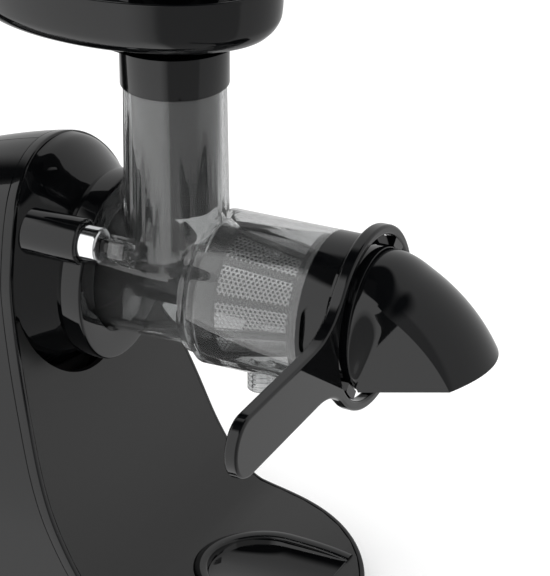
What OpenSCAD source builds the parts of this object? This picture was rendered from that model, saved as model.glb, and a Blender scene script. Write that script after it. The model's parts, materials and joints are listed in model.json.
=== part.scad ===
// Cold press juicer: a motor body on a broad foot, a clear feed drum with a chute,
// a perforated screen around a slow auger, an end cap with its lever, and a pulp hood.
// X runs along the auger towards the hood and Z is up. The origin is the middle of the
// face that the foot rests on, and the auger axis lies straight above it, at Y = 0.

/* [Body] */
// Height of the auger axis above the table
axis_h = 175; // [160:1:190]
// Radius of the body's top arch, about the auger axis
arch_r = 62; // [58:0.5:66]
// Width of the foot
foot_w = 165; // [158:1:176]
// Rear end of the body
rear_x = -150; // [-160:1:-149]
// Front end of the foot
toe_x = 153; // [148:1:160]
// Wall of the moulded covers
wall = 2.8; // [2.2:0.1:3.2]
// Width of the trim band along the front edge
trim_w = 5.5; // [4.5:0.5:8]
// Height that the arch falls from its crown to the rear edge
crown_drop = 33; // [26:1:36]
// Height of the seam between the covers and the foot
seam_z = 14; // [12:0.5:16]
// Thickness of the rubber foot ring
foot_t = 3; // [2:0.5:4]

/* [Drum] */
// Distance from the body's middle to the chute axis
chute_x = 55; // [53:1:58]
// Outer radius of the wide drum
drum_r = 39; // [36:0.5:41]
// How much smaller the barrel's radius is than the drum's
barrel_step = 7; // [6:0.5:8]
// Wall of the clear drum
drum_wall = 2.8; // [2.4:0.1:3.2]
// Length of the wide drum
drum_len = 61; // [58:1:64]
// Outer radius of the feed chute at its mouth
chute_r = 25; // [24:0.5:25.5]
// Height of the chute's mouth above the auger axis
chute_h = 122; // [112:1:134]
// Bore radius of the juice outlet
outlet_r = 4.4; // [3.6:0.2:4.8]

/* [Screen and auger] */
// How much smaller the screen's wide end is than the drum
screen_in = 4.8; // [4.6:0.1:5.2]
// How much the screen's radius falls towards the cap
screen_taper = 9.4; // [8.4:0.2:10.4]
// Thickness of the screen sheet
screen_t = 0.8; // [0.6:0.1:1]
// Core radius of the auger
core_r = 14; // [13:0.5:15]
// Pitch of the auger's flight
flight_pitch = 34; // [30:1:40]

/* [Hopper and pusher] */
// Half length of the oval tray
tray_a = 81; // [76:1:90]
// Half width of the oval tray
tray_b = 52; // [49:1:58]
// How far the tray's middle lies behind the chute
tray_back = 26.5; // [24:0.5:32]
// Height of the tray's rim above the chute's mouth
tray_depth = 39; // [36:1:46]
// Depth of the tray's upright wall
tray_wall_h = 18; // [15:1:20]
// Wall of the tray
tray_t = 2.4; // [2:0.1:2.8]
// Gap between the pusher and the chute's mouth
pusher_gap = 0.6; // [0.4:0.1:1.2]

/* [Cap, lever and hood] */
// Length of the cap's skirt
cap_len = 17; // [15:0.5:20]
// How far the lever's ring stands out from the drum
ring_out = 7; // [6.5:0.5:8]
// Radial width of the lever's ring
ring_w = 5; // [4.5:0.5:6]
// Thickness of the lever
lever_t = 6.8; // [5.6:0.2:7.2]
// Distance from the auger axis to the lever's tip
lever_len = 151; // [142:1:160]
// Width of the lever's blade
lever_w = 31; // [26:1:33]
// How much smaller the hood's radius is than the drum's
hood_step = 3.5; // [2.5:0.5:4]
// Reach of the hood's nose from its lower rear corner
hood_reach = 62; // [59:0.5:64]

/* [Latch] */
// Radius of the latch pod
pod_r = 11.6; // [11:0.2:12]
// Radius of the chrome release button
button_r = 8.8; // [8:0.2:9]
// Travel of the release button
button_travel = 4.5; // [3:0.5:5]

/* [Drive] */
// Module of the motor's gear stage
mod_a = 0.8; // [0.76:0.01:0.84]
// Module of the middle gear stage
mod_b = 1; // [0.96:0.01:1.04]
// Module of the output gear stage
mod_c = 1.25; // [1.22:0.01:1.28]
// Radius of the motor's stator
stator_r = 31; // [29:0.5:32]
// Length of the motor's stator
stator_len = 46; // [42:1:46]

/* [Hidden] */
$fn = 64;

fit = 0.15;          // gap between fitted covers
slip = 0.3;          // gap around a piece that turns or slides
press = 0.02;        // gap of a press fit
barrel_r = drum_r - barrel_step;
hood_r = drum_r - hood_step;
ring_r = drum_r + ring_out;
run = 0.05;          // radial clearance of a journal in its bearing
arch_x = -13;        // station of the arch's crown
edge_x = rear_x + 35;        // where the rear edge starts to round
edge_in = 28;        // how far the rear edge rounds inwards
arch_shrink = 12;    // how much the arch radius falls towards the rear
rear_taper = 8;      // how much the foot narrows towards the rear
shoulder_x = 42;     // where the covers end and the foot's tongue begins
tongue_z = 20;       // height of the tongue where the front panel meets it
high = 70;           // taller than anything of the tongue

// ---- curves ----------------------------------------------------------------

function bez(p, n) = [for (i = [0:n]) let (t = i / n, s = 1 - t)
    s * s * s * p[0] + 3 * s * s * t * p[1] + 3 * s * t * t * p[2] + t * t * t * p[3]];
function tail(list) = [for (i = [1:len(list) - 1]) list[i]];
function mirrored(list) = [for (i = [len(list) - 1:-1:0]) [list[i][0], -list[i][1]]];
function mirrored_x(list) = [for (i = [len(list) - 1:-1:0]) [-list[i][0], list[i][1]]];

// Skin through closed sections with equal numbers of points, from one end cap to the other.
module skin(sections) {
    n = len(sections[0]);
    k = len(sections);
    polyhedron([for (s = sections) for (p = s) p], concat(
        [for (i = [0:k - 2]) for (j = [0:n - 1]) let (m = (j + 1) % n)
            [i * n + j, (i + 1) * n + j, (i + 1) * n + m]],
        [for (i = [0:k - 2]) for (j = [0:n - 1]) let (m = (j + 1) % n)
            [i * n + j, (i + 1) * n + m, i * n + m]],
        [[for (j = [0:n - 1]) j], [for (j = [n - 1:-1:0]) (k - 1) * n + j]]), convexity = 6);
}

module along_x(x) { translate([x, 0, axis_h]) rotate([0, 90, 0]) children(); }
module rod(x0, x1, r) { along_x(x0) cylinder(h = x1 - x0, r = r); }
module tube(x0, x1, outer, inner) {
    difference() {
        rod(x0, x1, outer);
        rod(x0 - 1, x1 + 1, inner);
    }
}
module turned(points) { along_x(0) rotate_extrude($fn = 96) polygon([for (p = points) [p[1], p[0]]]); }
module side_slab(width) { rotate([90, 0, 0]) linear_extrude(width, center = true) children(); }

// ---- body form -------------------------------------------------------------

function behind(x) = max(arch_x - x, 0) / (arch_x - edge_x);
function arch_rad(x) = arch_r - arch_shrink * behind(x);
function crown_z(x) = axis_h + arch_r - crown_drop * pow(behind(x), 1.3);
function plan_hw(x) = foot_w / 2 - rear_taper * pow(behind(x), 2) / 2;
flank = 0.7;         // share of the flank's height over which it swells
function bell(d) = (1 - cos(180 * min(d / flank, 1))) / 2;

// Shares of the flank's height, from the foot up to the shoulder, and angles of the arch.
flank_steps = [1, 0.87, 0.83, 0.78, 0.7, 0.62, 0.54, 0.46, 0.38, 0.3, 0.22, 0.14, 0.06];
arch_step = 9;
arch_steps = [for (a = [0:arch_step:90]) a];
// Point j of one side of the body's section: a bell-shaped flank below a round arch.
side_points = len(flank_steps) + len(arch_steps);
function side_point(j, x, inset) = let (r = arch_rad(x), zs = crown_z(x) - r)
    j < len(flank_steps)
    ? let (d = flank_steps[j]) [r + (plan_hw(x) - r) * bell(d) - inset, zs - (zs - cover_z) * d]
    : let (a = arch_steps[j - len(flank_steps)]) [(r - inset) * cos(a), zs + (r - inset) * sin(a)];
function half_section(x, inset) = [for (j = [0:side_points - 1]) side_point(j, x, inset)];
cover_z = seam_z + fit;
// Stations [x, inset] along the rear edge and up to the front.
function stations(inset) = concat(
    [for (a = [0:18:90]) [edge_x - (edge_x - rear_x - inset) * cos(a), edge_in * (1 - sin(a))]],
    [for (t = [0.25, 0.5, 0.75]) [edge_x + (arch_x - edge_x) * t, 0]]);
module front_prism(inset) {
    h = half_section(arch_x, inset);
    translate([-60, 0, 0]) rotate([90, 0, 90]) linear_extrude(160)
        polygon(concat([[h[0][0], foot_t + wall]], h, mirrored_x([for (i = [0:len(h) - 2]) h[i]]),
            [[-h[0][0], foot_t + wall]]));
}

// Shell between two rings of points: lists[ring][point], closed round each ring.
module ring_skin(rings, half) {
    n = len(rings[0]);
    k = len(rings);
    polyhedron([for (r = rings) for (p = r) p], concat(
        [for (i = [0:k - 2]) for (j = [0:n - 1]) let (m = (j + 1) % n)
            each [[i * n + j, (i + 1) * n + j, (i + 1) * n + m], [i * n + j, (i + 1) * n + m, i * n + m]]],
        [for (e = [0, k - 1]) for (j = [0:half - 2]) let (o = e * n, q = o + n - 1 - j)
            each e == 0 ? [[o + j, o + j + 1, q - 1], [o + j, q - 1, q]]
                : [[o + j, q - 1, o + j + 1], [o + j, q, q - 1]]]), convexity = 8);
}

// The front face seen from the side, from the crown down to the toe.
crown_pt = [arch_x - 3.7, axis_h + arch_r + 1];
brow_pt = [5, axis_h + 6];
chin_pt = [-14.5, axis_h + 10];
waist_pt = [7.3, axis_h - 53];
hollow_pt = [20, axis_h - 89];
instep_pt = [37, tongue_z + 7];
heel_pt = [62, tongue_z];
ball_pt = [85, tongue_z - 3.5];
tip_pt = [toe_x - 27, tongue_z + 3];
toe_low = 9;         // height at which the tongue's top meets the toe
toe_pt = [toe_x + 1, toe_low];
front_curve = concat(bez([crown_pt, brow_pt, chin_pt, waist_pt], 8),
    tail(bez([waist_pt, hollow_pt, instep_pt, heel_pt], 10)),
    tail(bez([heel_pt, ball_pt, tip_pt, toe_pt], 8)));
module side_profile() {
    polygon(concat([[rear_x - high, 0], [rear_x - high, axis_h + arch_r + high],
        [crown_pt[0], axis_h + arch_r + high]], front_curve, [[toe_x + 1, 0]]));
}
front_z = [for (p = front_curve) [p[1], p[0]]];
// Distance of the front face at height z.
function front_x(z) = lookup(z, front_z);
// A point of one side, at its own place behind the front face.
function front_point(j, inset, back) = let (h = side_point(j, arch_x, inset),
    x = min(front_x(h[1]) - back, shoulder_x), q = side_point(j, min(x, arch_x), inset)) [x, q[0], q[1]];
module front_skin() {
    difference() {
        side_profile();
        offset(delta = -wall) side_profile();
        translate([rear_x - high, -1]) square([crown_pt[0] + wall - rear_x + high, axis_h + arch_r + high]);
        translate([rear_x, -1]) square([toe_x - rear_x + high, foot_t + wall]);
    }
}

// Outline of the foot from above: the covers' outline, then an elliptic tongue.
function foot_side(inset) = concat(
    [for (s = stations(inset)) [s[0], plan_hw(s[0]) - s[1] - inset]],
    [for (a = [0:9:90]) [shoulder_x + (toe_x - shoulder_x - inset) * sin(a),
        (foot_w / 2 - inset) * cos(a)]]);
module foot_plan(inset) {
    side = foot_side(inset);
    polygon(concat(side, mirrored([for (i = [0:len(side) - 2]) side[i]])));
}
module foot_block(inset, z0, z1) {
    translate([0, 0, z0]) linear_extrude(z1 - z0) foot_plan(inset);
}

// ---- covers ----------------------------------------------------------------

rear_win_z = axis_h - 63;            // middle of the rear grille
rear_win = [2 * (arch_r - arch_shrink - edge_in - 5), 40];   // grille opening, wide and high
switch_z = axis_h - 103;             // middle of the power switch
switch_win = [24, 16];
switch_deep = 16;
gland_z = 34;        // middle of the cord inlet
gland_r = 6;
gland_bore = 3.6;

module rear_openings(gap) {
    translate([rear_x - 5, -rear_win[0] / 2 - gap, rear_win_z - rear_win[1] / 2 - gap])
        cube([20, rear_win[0] + 2 * gap, rear_win[1] + 2 * gap]);
    translate([rear_x - 5, -switch_win[0] / 2 - gap, switch_z - switch_win[1] / 2 - gap])
        cube([20, switch_win[0] + 2 * gap, switch_win[1] + 2 * gap]);
    translate([rear_x - 5, 0, gland_z]) rotate([0, 90, 0]) cylinder(h = 20, r = gland_r + gap);
}
function cover_ring(k) = let (o = stations(0)[k], i = stations(wall)[k])
    concat([for (j = [0:side_points - 1]) let (p = side_point(j, o[0], o[1]))
            [o[0], max(p[0], fit / 2), p[1]]],
        [for (j = [side_points - 1:-1:0]) let (p = side_point(j, i[0], i[1] + wall))
            [i[0], max(p[0], fit / 2), p[1]]]);
cover_front = concat(
    [for (j = [0:side_points - 1]) let (p = front_point(j, 0, trim_w + fit))
        [p[0], max(p[1], fit / 2), p[2]]],
    [for (j = [side_points - 1:-1:0]) let (p = front_point(j, wall, trim_w + fit))
        [p[0], max(p[1], fit / 2), p[2]]]);
module cover_half() {
    difference() {
        union() {
            ring_skin(concat([for (k = [0:len(stations(0)) - 1]) cover_ring(k)], [cover_front]), side_points);
            for (x = foot_post_x) translate([x - tab_w / 2, post_y(x) - tab_w / 2, cover_z])
                cube([tab_w, post_inset + tab_w / 2 - wall / 2, tab_t]);
        }
        for (x = foot_post_x) translate([x, post_y(x), cover_z - 1])
            cylinder(h = tab_t + 2, r = screw_hole_r);
    }
}
module left_cover() { color("#1b1b1d") cover_half(); }
module right_cover() { color("#1b1b1d") mirror([0, 1, 0]) cover_half(); }
function band_ring(back) = concat([for (j = [0:side_points - 1]) front_point(j, 0, back)],
    [for (j = [side_points - 2:-1:0]) let (p = front_point(j, 0, back)) [p[0], -p[1], p[2]]],
    [for (j = [0:side_points - 1]) let (p = front_point(j, wall, back)) [p[0], -p[1], p[2]]],
    [for (j = [side_points - 2:-1:0]) front_point(j, wall, back)]);
module trim_band() {
    color("#222226") ring_skin([band_ring(trim_w), band_ring(0)], 2 * side_points - 1);
}
module rear_panel() {
    h = half_section(rear_x + wall, edge_in + wall + fit);
    color("#1b1b1d") difference() {
        translate([rear_x, 0, 0]) rotate([90, 0, 90]) linear_extrude(wall)
            polygon(concat(h, mirrored_x([for (i = [0:len(h) - 2]) h[i]])));
        rear_openings(fit);
    }
}

horn_drop = 12;      // how far below the axis the panel's horns end beside the nose
nose_play = 0.8;
nose_seat_r = (arch_r - wall) * cos(arch_step / 2) - nose_play;   // nose spigot inside the trim band
module front_panel() {
    color("#2c2c2e") difference() {
        union() {
            intersection() {
                side_slab(2 * foot_w) front_skin();
                front_prism(wall + fit);
                translate([-100, -150, foot_t + wall])
                    cube([100 + shoulder_x, 300, axis_h - horn_drop - foot_t - wall]);
            }
            intersection() {
                side_slab(2 * foot_w) front_skin();
                foot_block(wall + fit, foot_t + wall, high);
                translate([shoulder_x - 0.01, -100, 0]) cube([200, 200, high]);
            }
        }
        rod(-40, 40, nose_seat_r + fit);
        tray_pocket(fit);
    }
}

// Nose: a dome that runs forward from the arch into the drum's socket.
socket_r = barrel_r + 1;             // bore of the socket
boss_r = barrel_r + 15;
nose_back = -12;
nose_face = 16;
nose_fall = arch_r - boss_r;
// Places along the dome, and how much of the fall is still left there.
dome_back = -14.5;
dome_x = [-9, -4, 1.5, 8.5, nose_face - wall];
dome_left = [0.867, 0.687, 0.413, 0.08, -0.073];
back_left = 0.94;
function dome_r(left) = boss_r + nose_fall * left;
pod_y = 1 - boss_r;
pod_z = axis_h + boss_r - 14;
module nose_housing() {
    color("#19191b") difference() {
        union() {
            difference() {
                turned(concat([[nose_back, 0], [nose_back, nose_seat_r - wall],
                    [dome_back, nose_seat_r - wall], [dome_back, dome_r(back_left)]],
                    [for (i = [0:4]) [dome_x[i], dome_r(dome_left[i])]],
                    [[nose_face, boss_r], [nose_face, 0]]));
                side_slab(2 * foot_w) translate([slip, 0]) side_profile();
            }
            rod(nose_back, 1, nose_seat_r);
        }
        turned([[nose_back + wall, socket_r + wall], [nose_back + wall, nose_seat_r - 2 * wall],
            [dome_x[1], nose_seat_r - 2 * wall], [dome_x[2], dome_r(dome_left[2]) - wall],
            [dome_x[3], dome_r(dome_left[3]) - wall], [dome_x[4], dome_r(dome_left[4]) - 1.6 * wall],
            [dome_x[4], socket_r + wall]]);
        rod(nose_back + wall, nose_face + 1, socket_r);
        rod(nose_back - 1, nose_back + wall + 1, seal_r + slip);
        at_pod(pod_back - fit) cylinder(h = high, r = pod_r + fit);
        at_pod(pod_back - button_travel - 2) cylinder(h = button_travel + 3, r = pin_r + slip);
        case_screw_places(nose_back - 1) cylinder(h = wall + 2, r = screw_hole_r);
    }
}
ring_len = 10;
socket_face = nose_face + ring_len;
lug_r = barrel_r + 6.5;              // reach of the drum's bayonet lugs
lug_w = 18;                          // their width
lug_t = 5.7;                         // and their thickness
lug_seat = 3;                        // wall of the socket ring in front of them
lug_front = socket_face - lug_seat - slip;
ring_round = 1.5;                    // rounding of the socket ring's rim
module socket_ring() {
    color("#101012") difference() {
        turned([[nose_face, 0], [nose_face, boss_r + 1], [socket_face - ring_round, boss_r + 1],
            [socket_face, boss_r + 1 - ring_round], [socket_face, 0]]);
        rod(nose_face - 1, socket_face + 1, socket_r);
        rod(nose_face - 1, socket_face - lug_seat, lug_r + slip);
        for (a = lug_angles) drum_lug_slot(a);
        at_pod(pod_back) cylinder(h = high, r = pod_r + fit);
    }
}
lug_angles = [20, 140, 260];
lug_turn = 40;
module drum_lug_slot(a) {
    translate([0, 0, axis_h]) rotate([a + lug_turn, 0, 0])
        translate([socket_face - lug_seat - 1, 0, -lug_w / 2]) cube([lug_seat + 2, lug_r + slip, lug_w]);
}

// ---- foot ------------------------------------------------------------------

foot_floor = foot_t + wall;
// The foot seen from the side: low below the covers, and up to the front face ahead of them.
module foot_side_view() {
    intersection() {
        side_profile();
        union() {
            translate([rear_x - 1, 0]) square([toe_x - rear_x, seam_z]);
            translate([shoulder_x, 0]) square([toe_x, axis_h]);
        }
    }
}
module foot_shell() {
    color("#161618") difference() {
        union() {
            difference() {
                intersection() {
                    foot_block(0, foot_t, high);
                    side_slab(2 * foot_w) foot_side_view();
                }
                foot_block(wall, foot_floor, high + 1);
            }
            for (p = foot_posts) translate([p[0], p[1], foot_floor - 1])
                cylinder(h = seam_z - foot_floor + 1, r = tab_w / 2);
        }
        for (p = foot_posts) translate([p[0], p[1], foot_t - 1]) {
            cylinder(h = high, r = screw_hole_r);
            cylinder(h = head_t + screw_r, r = head_r + slip);
        }
        difference() {
            foot_block(ring_inset - fit, foot_t - 1, foot_t + ring_deep);
            foot_block(ring_inset + ring_wide + fit, foot_t - 2, foot_t + 2 * ring_deep);
        }
    }
}
ring_inset = 8;      // the rubber ring's place inside the foot's edge
ring_wide = 8;
ring_deep = 1;       // depth of its groove
module foot_ring() {
    color("#0c0c0c") difference() {
        foot_block(ring_inset, 0, foot_t + ring_deep - fit);
        foot_block(ring_inset + ring_wide, -1, foot_t + 2 * ring_deep);
    }
}
tab_w = 10;          // width of the covers' screw tabs and of the posts under them
tab_t = 5;
post_inset = 24;     // how far the screws stand in from the foot's edge
screw_r = 1.5;
screw_hole_r = 1.6;
head_r = 3.2;
head_t = 2;
foot_post_x = [rear_x + 45, -30];
function post_y(x) = plan_hw(x) - post_inset;
foot_posts = [for (x = foot_post_x) for (s = [-1, 1]) [x, s * post_y(x)]];

// Glossy drip tray let into the tongue under the outlet: a U that is open to the toe.
outlet_ahead = 46;   // distance of the juice outlet in front of the chute
tray_hw = 36;        // half width of the tray
tray_mid = chute_x + outlet_ahead + 1;   // centre of its round end, near the outlet
tray_rim = 7;        // width of its rim
tray_floor_z = 15;
tray_toe = 18;       // distance of its open end from the toe
tray_proud = [0.8, 1.2];             // how far its rim stands out of the tongue
module tray_plan(grow) {
    translate([tray_mid, 0]) circle(r = tray_hw + grow);
    translate([tray_mid, -tray_hw - grow])
        square([toe_x - tray_toe - tray_mid + abs(grow), 2 * (tray_hw + grow)]);
}
module tray_pocket(gap) {
    translate([0, 0, tray_floor_z - wall - gap]) linear_extrude(high) tray_plan(gap);
}
module tray_insert() {
    color("#0d0d0f") difference() {
        intersection() {
            translate([0, 0, tray_floor_z - wall]) linear_extrude(high) tray_plan(0);
            side_slab(2 * foot_w) translate(tray_proud) side_profile();
        }
        translate([0, 0, tray_floor_z]) linear_extrude(high) tray_plan(-tray_rim);
    }
}

// ---- rear fittings -----------------------------------------------------------

grille_edge = 4;
grille_slot = 2.6;
module rear_grille() {
    color("#141416") difference() {
        union() {
            translate([rear_x - 1, -rear_win[0] / 2, rear_win_z - rear_win[1] / 2])
                cube([wall + 2, rear_win[0], rear_win[1]]);
        }
        for (i = [-3:3]) translate([rear_x - wall, grille_edge - rear_win[0] / 2,
            rear_win_z + i * rear_win[1] / 8 - grille_slot / 2])
            cube([3 * wall, rear_win[0] - 2 * grille_edge, grille_slot]);
    }
}
gland_lip = 4;
module cord_gland() {
    color("#0b0b0b") translate([rear_x, 0, gland_z]) rotate([0, 90, 0]) difference() {
        union() {
            translate([0, 0, -gland_lip]) cylinder(h = gland_lip, r1 = gland_r + 0.5, r2 = gland_r + 2.5);
            cylinder(h = wall + gland_lip, r = gland_r);
        }
        translate([0, 0, -2 * gland_lip]) cylinder(h = high, r = gland_bore);
    }
}
bezel_t = 1.6;
bezel_lip = 2.5;
bezel_play = 0.25;
rocker_w = 18;
rocker_h = 10;
module switch_bezel() {
    color("#18181a") difference() {
        union() {
            translate([rear_x - bezel_t, -switch_win[0] / 2 - bezel_lip, switch_z - switch_win[1] / 2 - bezel_lip])
                cube([bezel_t, switch_win[0] + 2 * bezel_lip, switch_win[1] + 2 * bezel_lip]);
            translate([rear_x, -switch_win[0] / 2, switch_z - switch_win[1] / 2])
                cube([switch_deep, switch_win[0], switch_win[1]]);
        }
        translate([rear_x - 2 * bezel_t, -rocker_w / 2 - 2 * bezel_play, switch_z - rocker_h / 2 - bezel_t])
            cube([switch_deep - 1, rocker_w + 4 * bezel_play, rocker_h + 2 * bezel_t]);
    }
}
rocker_in = 6.5;     // depth of the rocker's pivot
rocker_r = 9;
module power_rocker() {
    color("#2a2a2c") intersection() {
        translate([rear_x + rocker_in - rocker_r, -rocker_w / 2, switch_z - rocker_h / 2])
            cube([rocker_r + 4, rocker_w, rocker_h]);
        translate([rear_x + rocker_in, 0, switch_z]) rotate([90, 0, 0])
            cylinder(h = 2 * rocker_w, r = rocker_r, center = true);
    }
}
module foot_screws() {
    color("#9a9a9a") for (p = foot_posts) translate([p[0], p[1], foot_t + slip]) {
        cylinder(h = head_t, r = head_r);
        cylinder(h = cover_z + tab_t - foot_t - 2 * slip, r = screw_r);
    }
}

// ---- latch -------------------------------------------------------------------

pod_back = 0;
pod_front = 28.5;
tip_front = 38.5;
latch_x = 48.5;      // front end of the latch pin
module at_pod(x) { translate([x, pod_y, pod_z]) rotate([0, 90, 0]) children(); }
pin_r = 2;
pin_head_r = 3.6;
module latch_pod() {
    color("#141416") difference() {
        at_pod(pod_back) cylinder(h = pod_front - pod_back, r = pod_r);
        at_pod(pod_back + wall) cylinder(h = pod_front, r = button_r + slip);
        at_pod(pod_back - 1) cylinder(h = wall + 2, r = pin_r + slip);
    }
}
button_back = pod_back + wall + button_travel + 1;
seat_depth = 5;      // depth of the spring's seat in the button
button_edge = 1.5;
module release_button() {
    color("#d8d8dc") difference() {
        union() {
            at_pod(button_back) cylinder(h = tip_front - button_back - button_edge, r = button_r);
            at_pod(tip_front - button_edge)
                cylinder(h = button_edge, r1 = button_r, r2 = button_r - button_edge);
        }
        at_pod(button_back - 1) cylinder(h = tip_front - button_back + 2, r = pin_r + press);
        at_pod(button_back - 1) cylinder(h = seat_depth + 1, r = button_r - button_edge);
    }
}
module latch_pin() {
    color("#2a2a2c") {
        at_pod(pod_back + slip) cylinder(h = latch_x - pod_back - slip, r = pin_r);
        at_pod(tip_front + press) cylinder(h = latch_x - tip_front - press, r = pin_head_r);
    }
}
spring_r = 4.8;      // mean radius of the coil
wire_r = 0.5;
spring_turns = 5;
spring_back = pod_back + wall + wire_r + press;
spring_front = button_back + seat_depth - wire_r - press;
module latch_spring() {
    step = 24;
    n = 360 / step * spring_turns;
    color("#b0b0b0") translate([0, pod_y, pod_z]) skin([for (i = [0:n])
        [for (b = [0:60:300]) let (r = spring_r + wire_r * cos(b))
            [spring_back + (spring_front - spring_back) * i / n + wire_r * sin(b),
                r * cos(step * i), r * sin(step * i)]]]);
}

// ---- gears -------------------------------------------------------------------

z_rotor = 10;
z_first = 60;
z_first_pin = 12;
z_second = 60;
z_second_pin = 12;
z_out = 56;
dist_c = mod_c * (z_out + z_second_pin) / 2 + 0.1;
dist_b = mod_b * (z_second + z_first_pin) / 2 + 0.1;
dist_a = mod_a * (z_first + z_rotor) / 2 + 0.1;
second_dir = 242;    // directions of the gear centres, from +Y
first_dir = -13;
motor_dir = 237;
second_at = [dist_c * cos(second_dir), dist_c * sin(second_dir)];
first_at = second_at + [dist_b * cos(first_dir), dist_b * sin(first_dir)];
motor_at = first_at + [dist_a * cos(motor_dir), dist_a * sin(motor_dir)];

// Straight teeth; a tooth's middle points along the angle phase.
module gear(m, z, width, bore, phase) {
    root = m * (z / 2 - 1.15);
    tip = m * (z / 2 + 0.8);
    step = 360 / z;
    linear_extrude(width) difference() {
        polygon([for (i = [0:z - 1]) for (p = [[-0.27, root], [-0.1, tip], [0.1, tip], [0.27, root]])
            let (a = phase + step * (i + p[0])) p[1] * [cos(a), sin(a)]]);
        circle(r = bore);
    }
}
// Local x is the body's Y and local y is Z, looking against X.
module on_axis(x, at) {
    translate([x, at[0], axis_h + at[1]]) rotate([90, 0, 90]) children();
}
case_back = -58;
case_front = nose_back - 0.2;
plate = 3;
case_wall = 2.5;
case_room = 4;       // room between the wheels and the case
module case_outline(grow) {
    hull() {
        circle(r = mod_c * z_out / 2 + case_room + grow, $fn = 32);
        translate(second_at) circle(r = mod_b * z_second / 2 + case_room + grow, $fn = 32);
        translate(first_at) circle(r = mod_a * z_first / 2 + case_room + grow, $fn = 32);
        translate(motor_at) circle(r = mod_a * z_rotor + 2 * case_room + grow, $fn = 32);
    }
}
case_screw_spots = [for (a = [-5, 90, 175]) (mod_c * z_out / 2 + case_room + 3) * [cos(a), sin(a)]];
boss = 4.5;          // radius of the case's screw bosses
module case_screw_places(x) { for (p = case_screw_spots) on_axis(x, p) children(); }
module gear_case() {
    color("#3a3a3d") difference() {
        union() {
            on_axis(case_back + plate, [0, 0]) linear_extrude(case_front - case_back - plate)
                case_outline(case_wall);
            case_screw_places(case_back + plate)
                cylinder(h = case_front - case_back - plate, r = boss);
        }
        on_axis(case_back, [0, 0]) linear_extrude(case_front - case_back - plate) case_outline(0);
        rod(case_front - plate - 1, case_front + 1, bearing_r + press);
        for (p = [second_at, first_at]) on_axis(case_front - plate - 1, p)
            cylinder(h = 2 * plate, r = gear_pin_r + press);
        case_screw_places(case_back - plate) cylinder(h = high, r = screw_hole_r);
    }
}
module gear_lid() {
    color("#48484c") difference() {
        union() {
            on_axis(case_back, [0, 0]) linear_extrude(plate) case_outline(case_wall);
            case_screw_places(case_back) cylinder(h = plate, r = boss);
        }
        rod(case_back - 1, case_back + plate + 1, bearing_r + press);
        for (p = [second_at, first_at]) on_axis(case_back - 1, p)
            cylinder(h = 2 * plate, r = gear_pin_r + press);
        on_axis(case_back - 1, motor_at) cylinder(h = 2 * plate, r = bearing_r + 1);
        case_screw_places(case_back - plate) cylinder(h = high, r = screw_hole_r);
    }
}
module case_screws() {
    color("#a8a8a8") case_screw_places(case_back - head_t) {
        cylinder(h = head_t, r = head_r);
        cylinder(h = nose_back + wall - case_back + head_t, r = screw_r);
    }
}
gear_pin_r = 3;
bearing_r = 11;
shaft_r = 6;
module gear_pins() {
    color("#c0c0c4") for (p = [second_at, first_at])
        on_axis(case_back, p) cylinder(h = case_front - case_back, r = gear_pin_r);
}
hex_af = 13;         // drive hexagon across flats
hex_front = 14;
module output_shaft() {
    color("#c4c4c8") {
        rod(case_back, nose_back + wall + 4, shaft_r);
        along_x(nose_back + wall + 4) rotate([0, 0, 30])
            cylinder(h = hex_front - nose_back - wall - 4, r = hex_af / sqrt(3), $fn = 6);
    }
}
out_x = -26;
second_x = -37;
first_x = -48;
out_w = 9;           // widths of the wheels
second_w = 8;
first_w = 7;
pinion_over = 0.5;   // how much wider a pinion is than its wheel, at each side
module output_gear() {
    color("#b09a5a") {
        on_axis(out_x, [0, 0]) gear(mod_c, z_out, out_w, shaft_r + press, second_dir);
        tube(out_x + out_w, out_x + out_w + 1, bearing_r, shaft_r + press);
    }
}
function mesh_phase(dir, z) = dir + 180 + 180 / z;
module second_gear() {
    color("#8a8a90") {
        on_axis(out_x - pinion_over, second_at)
            gear(mod_c, z_second_pin, out_w + 2 * pinion_over, gear_pin_r + run,
                mesh_phase(second_dir, z_second_pin));
        on_axis(second_x, second_at) gear(mod_b, z_second, second_w, gear_pin_r + run, first_dir);
        on_axis(second_x + second_w, second_at) difference() {
            cylinder(h = out_x - pinion_over - second_x - second_w, r = 2 * gear_pin_r);
            translate([0, 0, -1]) cylinder(h = out_w, r = gear_pin_r + run);
        }
    }
}
module first_gear() {
    color("#e2dcc8") {
        on_axis(second_x - pinion_over, first_at)
            gear(mod_b, z_first_pin, second_w + 2 * pinion_over, gear_pin_r + run,
                mesh_phase(first_dir, z_first_pin));
        on_axis(first_x, first_at) gear(mod_a, z_first, first_w, gear_pin_r + run, motor_dir);
        on_axis(first_x + first_w, first_at) difference() {
            cylinder(h = second_x - pinion_over - first_x - first_w, r = gear_pin_r + 2);
            translate([0, 0, -1]) cylinder(h = out_w, r = gear_pin_r + run);
        }
    }
}
module output_bearings() {
    color("#d0d0d4") for (x = [case_back, case_front - plate])
        tube(x, x + plate, bearing_r, shaft_r + run);
}
seal_r = 13;
module shaft_seal() {
    color("#303030") tube(nose_back + fit, nose_back + wall, seal_r, shaft_r + run);
}

// ---- motor -------------------------------------------------------------------

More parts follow.
